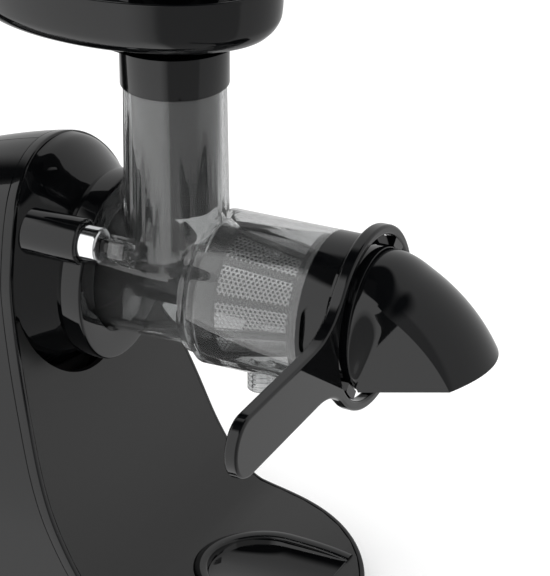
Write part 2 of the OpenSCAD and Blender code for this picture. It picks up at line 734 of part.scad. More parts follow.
motor_z = axis_h + motor_at[1];
motor_y = motor_at[0];
module on_motor(x) { translate([x, motor_y, motor_z]) rotate([0, 90, 0]) children(); }
core_front = -66;
core_back = core_front - stator_len;
motor_shaft_r = 3;
brush_x = core_back - 16;
bell_back = core_back - 22;
fan_x = bell_back - 8;
module motor_shaft() {
    color("#c8c8cc") {
        on_motor(fan_x - 1) cylinder(h = first_x + 0.5 - fan_x, r = motor_shaft_r);
        on_axis(first_x - 0.5, motor_at)
            gear(mod_a, z_rotor, 8, 1, mesh_phase(motor_dir, z_rotor));
    }
}
module motor_rotor() {
    color("#8c5a3c") {
        on_motor(core_back) difference() {
            cylinder(h = stator_len, r = rotor_r);
            translate([0, 0, -1]) cylinder(h = stator_len + 2, r = motor_shaft_r + press);
            for (a = [0:30:330]) rotate([0, 0, a]) translate([rotor_r - slot_deep, -slot_w / 2, -1])
                cube([2 * slot_deep, slot_w, stator_len + 2]);
        }
        on_motor(brush_x - 1) difference() {
            cylinder(h = brush_w + 2, r = comm_r);
            translate([0, 0, -1]) cylinder(h = brush_w + 4, r = motor_shaft_r + press);
        }
    }
}
rotor_r = 17.5;
slot_deep = 3;       // winding slots of the rotor
slot_w = 1.6;
brush_w = 7;
comm_r = 9;          // radius of the commutator
fan_r = 24;
fan_t = 1.2;
fan_h = 6;
module cooling_fan() {
    color("#e6e6e6") on_motor(fan_x) difference() {
        union() {
            cylinder(h = fan_h, r = 2 * motor_shaft_r);
            cylinder(h = fan_t, r = fan_r);
            for (a = [0:45:315]) rotate([0, 0, a]) translate([motor_shaft_r + 2, -fan_t / 2, 0])
                cube([fan_r - motor_shaft_r - 3, fan_t, fan_h]);
        }
        translate([0, 0, -1]) cylinder(h = fan_h + 2, r = motor_shaft_r + press);
    }
}
air_gap = 0.6;
module motor_stator() {
    color("#707076") on_motor(core_back) difference() {
        cylinder(h = stator_len, r = stator_r);
        translate([0, 0, -1]) cylinder(h = stator_len + 2, r = rotor_r + air_gap);
    }
}
module motor_coils() {
    color("#b8672e") for (x = [core_back - coil_t, core_front]) on_motor(x) difference() {
        cylinder(h = coil_t, r = stator_r - bell_wall - 0.5);
        translate([0, 0, -1]) cylinder(h = coil_t + 2, r = rotor_r + 2 * air_gap);
    }
}
coil_t = 5;
bell_wall = 2.5;
bell_bearing_r = 8;
module motor_front() {
    color("#9a9aa0") on_motor(core_front) difference() {
        cylinder(h = case_back - core_front, r = stator_r);
        translate([0, 0, -1]) cylinder(h = case_back - core_front + 1 - plate, r = stator_r - bell_wall);
        translate([0, 0, -1]) cylinder(h = high, r = bell_bearing_r + press);
    }
}
module motor_rear() {
    color("#9a9aa0") on_motor(bell_back) difference() {
        cylinder(h = core_back - bell_back, r = stator_r);
        translate([0, 0, plate]) cylinder(h = high, r = stator_r - bell_wall);
        translate([0, 0, -1]) cylinder(h = high, r = bell_bearing_r + press);
        for (s = [-1, 1]) translate([-brush_h / 2 - fit, s * (stator_r + comm_r) / 2 - stator_r / 2, brush_x - bell_back])
            cube([brush_h + 2 * fit, stator_r, brush_w + fit]);
    }
}
module motor_brushes() {
    color("#40403e") for (s = [-1, 1]) on_motor(brush_x)
        translate([-brush_h / 2, s > 0 ? comm_r + fit : -stator_r - 1, press])
            cube([brush_h, stator_r + 1 - comm_r - fit, brush_w]);
}
brush_h = 6;
module motor_bearings() {
    color("#d0d0d4") {
        on_motor(bell_back) bearing_sleeve(plate);
        on_motor(case_back - plate) bearing_sleeve(plate);
    }
}
module bearing_sleeve(h) {
    difference() {
        cylinder(h = h, r = bell_bearing_r);
        translate([0, 0, -1]) cylinder(h = h + 2, r = motor_shaft_r + run);
    }
}
cradle_in = 4;       // how far the cradle stays inside the stator's ends
cradle_t = 6;
cradle_hw = 26;
module motor_cradle() {
    color("#2e2e30") difference() {
        translate([core_back + cradle_in, motor_y - cradle_hw, foot_floor])
            cube([stator_len - 2 * cradle_in, 2 * cradle_hw, motor_z - foot_floor - 2 * cradle_t]);
        on_motor(core_back - 1) cylinder(h = stator_len + 2, r = stator_r + press);
        translate([core_back + cradle_in + cradle_t, motor_y - cradle_hw - 1, foot_floor + cradle_t])
            cube([stator_len - 2 * cradle_in - 2 * cradle_t, 2 * cradle_hw + 2, motor_z]);
        translate([core_back, motor_y - cradle_hw + 2 * cradle_t, foot_floor + cradle_t])
            cube([stator_len, 2 * cradle_hw - 4 * cradle_t, motor_z - stator_r - foot_floor - 3 * cradle_t]);
    }
}
module circuit_board() {
    color("#2f6b3a") difference() {
        translate([board_x, -board_w / 2, foot_floor + post_h]) cube([board_len, board_w, board_t]);
        board_posts() cylinder(h = high, r = screw_hole_r, center = true);
    }
}
board_x = -40;
board_len = 62;
board_w = 60;
board_t = 1.6;
board_edge = 4;      // distance of its screws from its edges
post_h = 6;
module board_posts() {
    for (x = [board_x + board_edge, board_x + board_len - board_edge])
        for (y = [-1, 1]) translate([x, y * (board_w / 2 - board_edge), foot_floor]) children();
}
// Parts on the board: capacitor [x, y, radius, height], then boxes [x, y, length, width, height].
can = [-14, -16, 7, 18];
chips = [[4, -20, 12, 16, 12], [-10, 8, 22, 12, 14], [-30, -6, 8, 20, 9]];
module board_parts() {
    color("#8a8d92") {
        board_posts() cylinder(h = post_h, r = screw_r + 1);
        board_posts() cylinder(h = post_h + 2 * board_t, r = screw_r);
        z = foot_floor + post_h + board_t;
        translate([can[0], can[1], z]) cylinder(h = can[3], r = can[2]);
        for (c = chips) translate([c[0], c[1], z]) cube([c[2], c[3], c[4]]);
    }
}

// ---- drum --------------------------------------------------------------------

rim_x = chute_x + 82.5;              // front rim of the drum
cap_face = rim_x + cap_len;
drum_x = rim_x - drum_len;
barrel_x = nose_back + wall + 2;
seat_deep = 6;       // how far the cap's spigot reaches into the drum
seat_x = rim_x - seat_deep;
// The step from the barrel to the drum: places before and after drum_x, and shares of the step.
step_x = [-7, -5, -1, 3];
step_up = [0, 0.43, 0.51, 1];
module drum_shell(inset) {
    over = inset > 0 ? 1 : 0;
    turned(concat([[barrel_x - over, 0], [barrel_x - over, barrel_r - inset]],
        [for (i = [0:3]) [drum_x + step_x[i] + inset, barrel_r + barrel_step * step_up[i] - inset]],
        [[rim_x + over, drum_r - inset], [rim_x + over, 0]]));
}
chute_draft = 1.4;   // how much wider the chute is at its root
outlet_x = chute_x + outlet_ahead;
outlet_drop = drum_r + 13;
outlet_wall = 1.8;
rib_out = 2.6;       // the outlet's ribs: radius outside its bore, pitch and height
rib_pitch = 2.6;
rib_t = 1.3;
module drum() {
    color([0.55, 0.57, 0.58, 0.6]) difference() {
        union() {
            difference() {
                drum_shell(0);
                drum_shell(drum_wall);
            }
            difference() {
                translate([chute_x, 0, axis_h])
                    cylinder(h = chute_h, r1 = chute_r + chute_draft, r2 = chute_r);
                rod(barrel_x, rim_x, barrel_r - drum_wall);
            }
            difference() {
                translate([outlet_x, 0, axis_h - outlet_drop]) {
                    cylinder(h = outlet_drop - drum_r + drum_wall + 1, r = outlet_r + outlet_wall);
                    for (i = [0:3]) translate([0, 0, rib_t / 2 + rib_pitch * i])
                        cylinder(h = rib_t, r = outlet_r + rib_out);
                }
                rod(outlet_x - drum_r, outlet_x + drum_r, drum_r - drum_wall);
            }
            for (a = lug_angles) translate([0, 0, axis_h]) rotate([a, 0, 0]) intersection() {
                translate([0, 0, -axis_h])
                    tube(lug_front - lug_t, lug_front, lug_r, barrel_r - 1);
                translate([0, 0, -lug_w / 2]) cube([rim_x, lug_r + 1, lug_w]);
            }
            latch_lug();
        }
        translate([chute_x, 0, axis_h]) cylinder(h = chute_h + 1, r1 = chute_r + chute_draft - drum_wall,
            r2 = chute_r - drum_wall);
        translate([outlet_x, 0, axis_h - outlet_drop - 1])
            cylinder(h = outlet_drop - barrel_r + drum_wall + 1, r = outlet_r);
        at_pod(tip_front) cylinder(h = latch_x + 1 - tip_front, r = pin_head_r + slip);
    }
}
// Lug that the latch pin enters, ahead of the pin's end when the button is pressed.
latch_t = 8;
latch_r = 6.5;
lug_dir = [0.6, 0.8];
lug_x = latch_x - button_travel + 0.5;
module latch_lug() {
    difference() {
        hull() {
            at_pod(lug_x) cylinder(h = latch_t, r = latch_r, $fn = 32);
            along_x(lug_x) translate([-lug_dir[0], -lug_dir[1], 0] * (barrel_r - 2))
                cylinder(h = latch_t, r = latch_r, $fn = 32);
        }
        rod(barrel_x, rim_x, barrel_r - drum_wall / 2);
    }
}
module drum_gasket() {
    color("#e0e0e0") tube(barrel_x - 2 + fit, barrel_x - fit, barrel_r - 0.5, barrel_r - drum_wall);
}

// ---- screen and auger ----------------------------------------------------------

screen_r = drum_r - screen_in;
screen_tip = screen_r - screen_taper;
screen_x = drum_x + step_x[3] + drum_wall + slip;
screen_end = seat_x - slip;
screen_bars = 11;
screen_phase = 195;
bar_w = 3.2;
bar_t = 1.5;         // height of the bars above the sheet
wide_ring = 9;       // lengths of the frame's end rings
tip_ring = 3;
tip_wall = 2.6;
module screen_cone(gap) {
    turned([[screen_x - 1, 0], [screen_x - 1, screen_r + gap], [screen_x, screen_r + gap],
        [screen_end, screen_tip + gap], [screen_end + 1, screen_tip + gap], [screen_end + 1, 0]]);
}
module screen_frame() {
    color("#1a1a1c") difference() {
        union() {
            tube(screen_x, screen_x + wide_ring, drum_r - drum_wall - fit, screen_tip);
            tube(screen_end - tip_ring, screen_end, screen_tip + tip_wall, screen_tip - 1);
            for (i = [1:screen_bars]) translate([0, 0, axis_h])
                rotate([screen_phase + 360 * i / screen_bars, 0, 0]) linear_extrude(bar_w, center = true)
                    polygon([[screen_x + 2, screen_r - 1], [screen_x + 2, screen_r + bar_t],
                        [screen_end - 1, screen_tip + bar_t], [screen_end - 1, screen_tip - 1]]);
        }
        screen_cone(press);
    }
}
module screen_sheet() {
    color("#c9ccd0") turned([[screen_x, screen_r - screen_t], [screen_x, screen_r],
        [screen_end, screen_tip], [screen_end, screen_tip - screen_t]]);
}

// Auger: a core with a flight in the barrel and a tapered one inside the screen.
socket_deep = 18;    // depth of the hexagon's socket
hex_gap = 0.3;       // extra size of the socket
auger_x = hex_front - socket_deep;
flight_start = 6;    // plain length of the core behind the flight
flight_gap = 1.4;    // gap between the flight and what surrounds it
flight_split = 1.5;  // slot between the two flights
journal_r = 5;
auger_stop = 6;      // distance of the core's end from the cap's face
auger_end = cap_face - auger_stop;
flight_r = barrel_r - drum_wall - flight_gap;
cone_flight_r = screen_r - screen_t - flight_gap;
cone_x = screen_x + 1;
flight_end = seat_x - 2;
cone_fall = screen_taper * (flight_end - cone_x) / (screen_end - screen_x);
// Section of the flight: angles of its flank, and the radii there.
flank_a = [26, 15, 9];
module auger_section(tip) {
    root = core_r - 2;
    belly = (core_r + tip) / 2;
    circle(r = root - 1, $fn = 12);
    polygon(concat([[0, 0]], [for (p = [[-flank_a[0], root], [-flank_a[1], belly], [-flank_a[2], tip], [0, tip],
        [flank_a[2], tip], [flank_a[1], belly], [flank_a[0], root]]) p[1] * [cos(p[0]), sin(p[0])]]));
}
module auger_flight(from, to, tip, end_scale, cuts) {
    along_x(from) rotate([0, 0, -360 * (from - auger_x) / flight_pitch])
        linear_extrude(to - from, twist = 360 * (to - from) / flight_pitch, scale = end_scale,
            slices = cuts, $fn = 0) auger_section(tip);
}
module auger() {
    color("#26262a") difference() {
        union() {
            rod(auger_x, auger_end, core_r);
            rod(auger_end - 1, cap_face - slip, journal_r);
            auger_flight(auger_x + flight_start, cone_x - flight_split, flight_r, 1, 26);
            auger_flight(cone_x, flight_end, cone_flight_r, 1 - cone_fall / cone_flight_r, 18);
        }
        along_x(auger_x - 1) rotate([0, 0, 30])
            cylinder(h = socket_deep + 1 + hex_gap, r = (hex_af + hex_gap) / sqrt(3), $fn = 6);
    }
}

// ---- cap, lever and hood -------------------------------------------------------

ring_in = ring_r - ring_w;
lever_gap = 0.8;     // gap between the cap's face and the lever
lever_x = cap_face + lever_gap;
hood_wall = 2.6;
neck_gap = 0.5;      // gap between the cap's neck and the hood
hood_gap = 1.1;      // gap between the lever and the hood
hood_x = lever_x + lever_t + hood_gap;
neck_r = hood_r - hood_wall - neck_gap;
neck_end = hood_x - neck_gap;
lug_in = hood_r + neck_gap;
cap_edge = 2.5;      // chamfer of the cap's rim
cap_plate = 3;       // thickness of its face
spigot_wall = 4;
spigot_r = drum_r - drum_wall - fit;
sleeve_r = screen_tip;               // bore of the sleeve that continues the screen
sleeve_wall = 2.4;
bush_r = 6.2;
bush_len = 5;
spoke_w = 4.4;
cap_lug_w = 12;
seal_deep = 1.2;
seal_w = 2;
seal_back = 3.6;     // distance of the seal's groove from the drum's rim
seal_in = drum_r - drum_wall - seal_deep;
module end_cap() {
    color("#131315") difference() {
        union() {
            turned([[rim_x + fit, 0], [rim_x + fit, drum_r], [cap_face - cap_edge, drum_r],
                [cap_face, drum_r - cap_edge], [cap_face, neck_r], [neck_end, neck_r], [neck_end, 0]]);
            tube(seat_x, rim_x + 1, spigot_r, spigot_r - spigot_wall);
            tube(seat_x, rim_x + 1, sleeve_r + sleeve_wall, sleeve_r);
            intersection() {
                for (a = [45:90:315]) translate([0, 0, axis_h]) rotate([a, 0, 0])
                    translate([cap_face - cap_edge + 0.5, lug_in, -cap_lug_w / 2])
                        cube([lever_gap + lever_t + cap_edge - 0.5, ring_in, cap_lug_w]);
                rod(cap_face - 2 * cap_edge, neck_end, ring_in - fit);
            }
        }
        tube(rim_x - seal_back, rim_x - seal_back + seal_w, drum_r, seal_in - press);
        tube(seat_x - 1, cap_face - cap_plate, spigot_r - spigot_wall, sleeve_r + sleeve_wall);
        rod(seat_x - 1, cap_face - cap_plate, sleeve_r);
        difference() {
            rod(cap_face - cap_plate - 1, cap_face + 1, sleeve_r);
            tube(cap_face - bush_len, cap_face, bush_r + spigot_wall, bush_r);
            for (a = [30:120:270]) translate([0, 0, axis_h]) rotate([a, 0, 0])
                translate([cap_face - bush_len, bush_r + 1, -spoke_w / 2]) cube([bush_len, sleeve_r, spoke_w]);
        }
        rod(cap_face, neck_end + 1, neck_r - hood_wall);
        for (a = [0, 180]) grip_pocket(a);
    }
}
// Tall finger recess in the side of the cap, a little above the axis.
grip_r = 6;
grip_tall = 27;
grip_deep = 3.2;
grip_up = 8;
module grip_pocket(a) {
    tilt = a == 0 ? 90 - grip_up : grip_up - 90;
    translate([rim_x + (cap_len - cap_edge) / 2 + 1, 0, axis_h]) rotate([tilt, 0, 0])
        translate([0, 0, drum_r - grip_deep]) linear_extrude(drum_r) union() {
            for (s = [-1, 1]) translate([0, s * (grip_tall / 2 - grip_r)]) circle(r = grip_r);
            square([2 * grip_r, grip_tall - 2 * grip_r], center = true);
        }
}
module auger_bush() {
    color("#e8e4d8") tube(cap_face - bush_len, cap_face, bush_r - press, journal_r + run);
}
module cap_seal() {
    color("#c8c8c8") tube(rim_x - seal_back + fit, rim_x - seal_back + seal_w - fit, drum_r - drum_wall - press,
        seal_in);
}
lever_drop = 2.5;    // how far the lever's middle line lies below the axis
fillet_r = 40;       // inner corner between the ring and the lever
// Points of one inner corner, from the lever's edge on side s round to the ring.
function lever_corner(s) = let (edge = s * lever_w / 2 - lever_drop, cz = edge + s * fillet_r,
        cy = -sqrt(pow(ring_r + fillet_r, 2) - cz * cz), turn = atan2(-cz, -cy) + s * 90)
    [for (t = [0:0.125:1]) let (a = -s * 90 + turn * t)
        [cy, cz] + fillet_r * [cos(a), sin(a)]];
module lever_plate() {
    tip_y = -lever_len + lever_w / 2;
    difference() {
        union() {
            circle(r = ring_r, $fn = 128);
            polygon(concat(
                [for (a = [90:7.5:270]) [tip_y + lever_w / 2 * cos(a), lever_w / 2 * sin(a) - lever_drop]],
                lever_corner(-1), [[-ring_in - 1, -lever_drop]],
                [for (p = [8:-1:0]) lever_corner(1)[p]]));
        }
        circle(r = ring_in, $fn = 128);
    }
}
module lever_ring() {
    color("#1c1c1e") on_axis(lever_x, [0, 0]) linear_extrude(lever_t) lever_plate();
}

// Hood: sections that turn from upright at the cap to face down at the mouth. They are round
// at the collar and then grow flat sides under a low arch.
hood_low = 26.7;     // depth of its lower rear corner below the axis
hood_turn = 77;      // angle through which the sections turn
hood_ledge = 0.3;    // step between the collar and the hood's skin
hood_side = 6.7;     // how far its flat sides lie inside the round sections
hood_arch = 10.5;    // rise of the low arch
hood_dip = 19;       // how much the reach sags between the collar and the mouth
hood_lip = 3;        // height of the sections' lower edges
hood_skin = 1.8;     // thickness of the hood in front of its collar
hood_blend = 0.3;    // share of the turn over which the sections grow flat
hood_rings = 10;
half_steps = 6;      // steps along a section's side, and again over its arch
function flatness(t) = let (s = min(max(t / hood_blend, 0), 1)) s * s * (3 - 2 * s);
skin_r = hood_r - hood_ledge;
function hood_top(t) = (1 - t) * (hood_low + skin_r) + t * hood_reach - hood_dip * t * (1 - t);
// Point q of a section: 0 at the lower edge, 1 at the shoulder and 2 on the crown.
function hood_point(t, inset, q) = let (lip = inset > 0 ? hood_lip - 1 : hood_lip, r = skin_r - inset,
        low = -asin((hood_low - lip) / r), a = q < 1 ? low + (45 - low) * q : 45 * q,
        side = r - hood_side, arch = hood_arch * pow(side / (skin_r - hood_side), 2),
        top = hood_top(t) - inset, v = 2 - q,
        loaf = q < 1 ? [side, lip + (top - arch - lip) * q] : [side * v, top - arch * v * v])
    [r * cos(a), hood_low + r * sin(a)] * (1 - flatness(t)) + loaf * flatness(t);
function hood_section(t, inset) = let (phi = hood_turn * t,
        half = [for (i = [0:2 * half_steps]) hood_point(t, inset, i / half_steps)])
    [for (p = concat(half, mirrored_x([for (i = [0:2 * half_steps - 1]) half[i]])))
        [hood_x + p[1] * sin(phi), p[0], axis_h - hood_low + p[1] * cos(phi)]];
module hood_form(inset, from, to) {
    skin([for (i = [from:to]) hood_section(i / hood_rings, inset)]);
}
module pulp_hood() {
    color("#1a1a1c") {
        difference() {
            hood_form(0, 0, hood_rings);
            hood_form(hood_skin, -1, hood_rings + 1);
        }
        tube(cap_face + slip, hood_x + neck_gap, hood_r, hood_r - hood_wall);
    }
}

// ---- hopper and pusher -----------------------------------------------------------

tray_x = chute_x - tray_back;
collar_len = 17.5;   // length of the hopper's collar over the chute
collar_r = chute_r + 1.6;
mouth_z = axis_h + chute_h;
tray_rim_z = mouth_z + tray_depth;
collar_z = mouth_z - collar_len;
floor_up = 8;        // height of the tray's floor above the mouth
tray_floor = mouth_z + floor_up;
// The tray's sections: how far each lies inside the rim, along and across, and its height.
throat_out = 8;
tray_in = [[34, 24], [11, 11], [3.5, 3.5], [1, 1]];
tray_up = [-1, 3];
throat_drop = 2;
tray_bend = 5;       // height of the bend below the upright wall
function oval(a, b, z) = [for (t = [0:9:351]) [tray_x + a * cos(t), b * sin(t), z]];
function toward(x, r, z) = [for (t = [0:9:351]) [x + r * cos(t), r * sin(t), z]];
function tray_sections(i, lift) = concat(
    [toward(chute_x, chute_r + throat_out - i, tray_floor - throat_drop + lift)],
    [for (k = [0, 1]) oval(tray_a - tray_in[k][0] - i, tray_b - tray_in[k][1] - i,
        tray_floor + tray_up[k] + lift)],
    [for (k = [2, 3]) oval(tray_a - tray_in[k][0] - i, tray_b - tray_in[k][1] - i,
        tray_rim_z - tray_wall_h - tray_bend * (3 - k) + lift)],
    [oval(tray_a - i, tray_b - i, tray_rim_z + (i > 0 ? 1 : 0))]);
module hopper() {
    color("#161618") difference() {
        union() {
            skin(tray_sections(0, 0));
            translate([chute_x, 0, collar_z])
                cylinder(h = tray_floor - collar_z - throat_drop / 2, r = collar_r);
        }
        skin(tray_sections(tray_t, tray_t));
        translate([chute_x, 0, collar_z - 1]) cylinder(h = mouth_z - collar_z + 1 + fit,
            r = chute_r + 2 * slip);
        translate([chute_x, 0, collar_z - 1]) cylinder(h = high, r = chute_r - drum_wall);
    }
}
pusher_r = chute_r - drum_wall - pusher_gap;
pusher_low = axis_h + drum_r + 2;
pusher_out = 34;     // how far the pusher's tube stands above the tray
pusher_top = tray_rim_z + pusher_out;
module pusher() {
    color("#0e0e10") translate([chute_x, 0, pusher_low]) difference() {
        cylinder(h = pusher_top - pusher_low, r = pusher_r);
        translate([0, 0, wall]) cylinder(h = pusher_top, r = pusher_r - wall);
    }
}
knob_lip = 7;        // how far the pusher's cap stands out of its tube
knob_t = 5;
knob_edge = 3;
plug_h = 6;          // height of the plug that holds the cap in the tube
module pusher_cap() {
    color("#1c1c1e") translate([chute_x, 0, pusher_top]) {
        cylinder(h = knob_t, r = pusher_r + knob_lip);
        translate([0, 0, -plug_h]) difference() {
            cylinder(h = plug_h, r = pusher_r - wall - fit);
            translate([0, 0, -1]) cylinder(h = plug_h, r = pusher_r - 2 * wall);
        }
        translate([0, 0, knob_t])
            cylinder(h = knob_edge, r1 = pusher_r + knob_lip, r2 = pusher_r + knob_lip - knob_edge);
    }
}

left_cover();
right_cover();
rear_panel();
trim_band();
front_panel();
nose_housing();
socket_ring();
foot_shell();
foot_ring();
tray_insert();
rear_grille();
cord_gland();
switch_bezel();
power_rocker();
foot_screws();
latch_pod();
release_button();
latch_pin();
latch_spring();
gear_case();
gear_lid();
case_screws();
gear_pins();
output_shaft();
output_gear();
output_bearings();
shaft_seal();
second_gear();
first_gear();
motor_rotor();
motor_shaft();
cooling_fan();
motor_stator();
motor_coils();
motor_front();
motor_rear();
motor_brushes();
motor_bearings();
motor_cradle();
circuit_board();
board_parts();
drum();
drum_gasket();
screen_frame();
screen_sheet();
auger();
auger_bush();
end_cap();
cap_seal();
lever_ring();
pulp_hood();
hopper();
pusher();
pusher_cap();
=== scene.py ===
# Cold press juicer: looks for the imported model. Lengths in the dictionaries are millimetres.
import json
from math import acos, asin, degrees, pi, radians, sqrt
import bmesh
import bpy
import numpy as np
from mathutils import Matrix, Vector

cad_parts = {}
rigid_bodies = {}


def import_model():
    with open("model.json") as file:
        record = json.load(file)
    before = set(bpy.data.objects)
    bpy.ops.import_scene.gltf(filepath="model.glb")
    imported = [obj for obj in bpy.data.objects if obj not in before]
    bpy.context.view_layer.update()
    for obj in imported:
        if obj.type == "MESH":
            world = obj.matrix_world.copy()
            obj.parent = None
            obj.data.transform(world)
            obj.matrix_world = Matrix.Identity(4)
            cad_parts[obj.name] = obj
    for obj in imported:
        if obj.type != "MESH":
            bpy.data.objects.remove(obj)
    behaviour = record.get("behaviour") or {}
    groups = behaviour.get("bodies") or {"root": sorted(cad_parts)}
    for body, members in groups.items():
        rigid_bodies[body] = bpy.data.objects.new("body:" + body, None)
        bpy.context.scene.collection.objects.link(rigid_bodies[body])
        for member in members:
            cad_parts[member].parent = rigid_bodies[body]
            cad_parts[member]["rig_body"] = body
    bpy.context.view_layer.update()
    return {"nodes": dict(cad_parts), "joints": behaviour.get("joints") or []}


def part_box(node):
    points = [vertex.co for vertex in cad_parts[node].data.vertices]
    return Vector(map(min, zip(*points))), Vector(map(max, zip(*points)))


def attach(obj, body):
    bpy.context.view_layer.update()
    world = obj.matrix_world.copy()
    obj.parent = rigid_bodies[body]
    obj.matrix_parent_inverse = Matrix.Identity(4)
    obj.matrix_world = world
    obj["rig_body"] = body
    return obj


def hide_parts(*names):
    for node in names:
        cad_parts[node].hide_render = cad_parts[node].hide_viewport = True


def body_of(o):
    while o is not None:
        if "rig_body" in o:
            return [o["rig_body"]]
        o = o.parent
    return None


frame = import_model()
nodes = frame["nodes"]
mm = 0.001
joints = {j["name"]: j for j in frame["joints"]}
axisH = joints["auger_spin"]["pos_m"][2] / mm   # height of the auger axis
print("frame loaded,", len(nodes), "nodes")


def boxOf(node):   # lowest and highest corner of a node in millimetres
    low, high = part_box(node)
    return np.array(low) / mm, np.array(high) / mm


class Wire:   # a shader socket that takes part in Python expressions
    def __init__(self, tree, socket):
        self.tree, self.socket = tree, socket

    def math(self, how, *values):
        return addNode(self.tree, "ShaderNodeMath", {"operation": how}, dict(enumerate(values)))

    def __add__(self, other):
        return self.math("ADD", self, other)

    def __sub__(self, other):
        return self.math("SUBTRACT", self, other)

    def __rsub__(self, other):
        return self.math("SUBTRACT", other, self)

    def __mul__(self, other):
        return self.math("MULTIPLY", self, other)

    def __truediv__(self, other):
        return self.math("DIVIDE", self, other)

    def __pow__(self, other):
        return self.math("POWER", self, other)

    __radd__ = __add__
    __rmul__ = __mul__

    def fraction(self):   # what is left over the whole number below
        return self.math("FRACT", self)

    def ramp(self, low, high):   # smooth step from 0 at low to 1 at high
        return addNode(self.tree, "ShaderNodeMapRange", {"interpolation_type": "SMOOTHSTEP"},
                       {"Value": self, "From Min": low, "From Max": high, "To Min": 0, "To Max": 1})

    def band(self, low, high, soft):   # 1 between low and high, with soft edges
        return self.ramp(low - soft, low + soft) * (1 - self.ramp(high - soft, high + soft))


def addNode(tree, kind, settings=None, values=None, out=0):   # settings first, then values or links
    node = tree.nodes.new(kind)
    for key, value in (settings or {}).items():
        setattr(node, key, value)
    for key, value in (values or {}).items():
        if isinstance(value, Wire):
            tree.links.new(value.socket, node.inputs[key])
        else:
            node.inputs[key].default_value = value
    return Wire(tree, node.outputs[out]) if node.outputs else node


def mixColour(tree, factor, a, b):   # colour a where the factor is 0, colour b where it is 1
    return addNode(tree, "ShaderNodeMix", {"data_type": "RGBA"}, {0: factor, 6: a, 7: b}, out=2)


def emptyTree(owner):   # a material's or world's node tree, cleared
    owner.use_nodes = True
    owner.node_tree.nodes.clear()
    return owner.node_tree


def grey(value, blue=0.0):   # a grey whose blue is higher by that share, and its green by a third of it
    return (value, value * (1 + blue / 3), value * (1 + blue), 1)


# A moulded, drawn or machined finish. vary is how far the tone wanders, grain the fineness of the
# texture and dents its depth in metres.
finishes = {
    "glossBlack": dict(colour=grey(0.0016, 0.3), rough=0.04, vary=0.02, grain=60, dents=0.000004),
    "satinBlack": dict(colour=grey(0.008), rough=0.34, vary=0.04, grain=900, dents=0.000012),
    "softBlack": dict(colour=grey(0.006), rough=0.16, vary=0.03, grain=500, dents=0.000008),
    "rubberBlack": dict(colour=grey(0.02), rough=0.62, vary=0.08, grain=700, dents=0.00006),
    "mattBlack": dict(colour=grey(0.03), rough=0.48, vary=0.06, grain=800, dents=0.00003),
    "nylonGrey": dict(colour=grey(0.07), rough=0.5, vary=0.08, grain=500, dents=0.00004),
    "acetal": dict(colour=(0.74, 0.7, 0.6, 1), rough=0.38, vary=0.05, grain=300, dents=0.00002),
    "silicone": dict(colour=grey(0.62), rough=0.45, vary=0.05, grain=400, dents=0.00002),
    "boardGreen": dict(colour=(0.02, 0.12, 0.045, 1), rough=0.35, vary=0.2, grain=250, dents=0.00003,
                       coat=0.4),
    "partGrey": dict(colour=grey(0.2), rough=0.4, vary=0.2, grain=120, dents=0.00003),
    "carbon": dict(colour=grey(0.03), rough=0.6, vary=0.1, grain=500, dents=0.00003),
    "groundSteel": dict(colour=grey(0.56), rough=0.24, vary=0.06, grain=200, dents=0.000012, metal=1),
    "plate": dict(colour=grey(0.42), rough=0.36, vary=0.1, grain=160, dents=0.00002, metal=1),
    "castAlloy": dict(colour=grey(0.45), rough=0.48, vary=0.12, grain=260, dents=0.00006, metal=1),
    "brass": dict(colour=(0.6, 0.44, 0.17, 1), rough=0.32, vary=0.08, grain=180, dents=0.00002, metal=1),
    "copper": dict(colour=(0.5, 0.2, 0.075, 1), rough=0.36, vary=0.14, grain=500, dents=0.0001, metal=1),
    "chrome": dict(colour=grey(0.86, 0.02), rough=0.05, vary=0.02, grain=40, dents=0.000002, metal=1),
}
unevenness = dict(cloud=14.0, cloudDetail=2.0, grainDetail=3.0, roughLow=0.85, roughSpan=0.3)
madeMaterials = {}


def finish(name):   # Principled surface: a broad noise moves its colour, a fine one its roughness and height
    if name in madeMaterials:
        return madeMaterials[name]
    look = finishes[name]
    material = bpy.data.materials.new(name)
    tree = emptyTree(material)
    place = addNode(tree, "ShaderNodeTexCoord", out=3)
    cloudy = addNode(tree, "ShaderNodeTexNoise", None, {
        "Vector": place, "Scale": unevenness["cloud"], "Detail": unevenness["cloudDetail"]})
    grain = addNode(tree, "ShaderNodeTexNoise", None, {
        "Vector": place, "Scale": float(look["grain"]), "Detail": unevenness["grainDetail"]})
    c, vary = look["colour"], look["vary"]
    lighter = tuple(min(1, x * (1 + 2 * vary)) for x in c[:3]) + (1,)
    darker = tuple(x * (1 - vary) for x in c[:3]) + (1,)
    shader = addNode(tree, "ShaderNodeBsdfPrincipled", None, {
        "Base Color": mixColour(tree, cloudy, darker, lighter),
        "Roughness": look["rough"] * (unevenness["roughLow"] + unevenness["roughSpan"] * grain),
        "Metallic": float(look.get("metal", 0)),
        "Coat Weight": float(look.get("coat", 0)),
        "Normal": addNode(tree, "ShaderNodeBump", None, {"Height": grain, "Distance": look["dents"]})})
    addNode(tree, "ShaderNodeOutputMaterial", None, {"Surface": shader})
    madeMaterials[name] = material
    return material


smokeLook = dict(tint=(0.77, 0.78, 0.78, 1), cloud=9.0, deeper=0.94, rough=0.012, roughLow=0.7, roughSpan=0.6,
                 index=1.1, clear=0.97, coatIndex=1.62, coatRough=0.01)


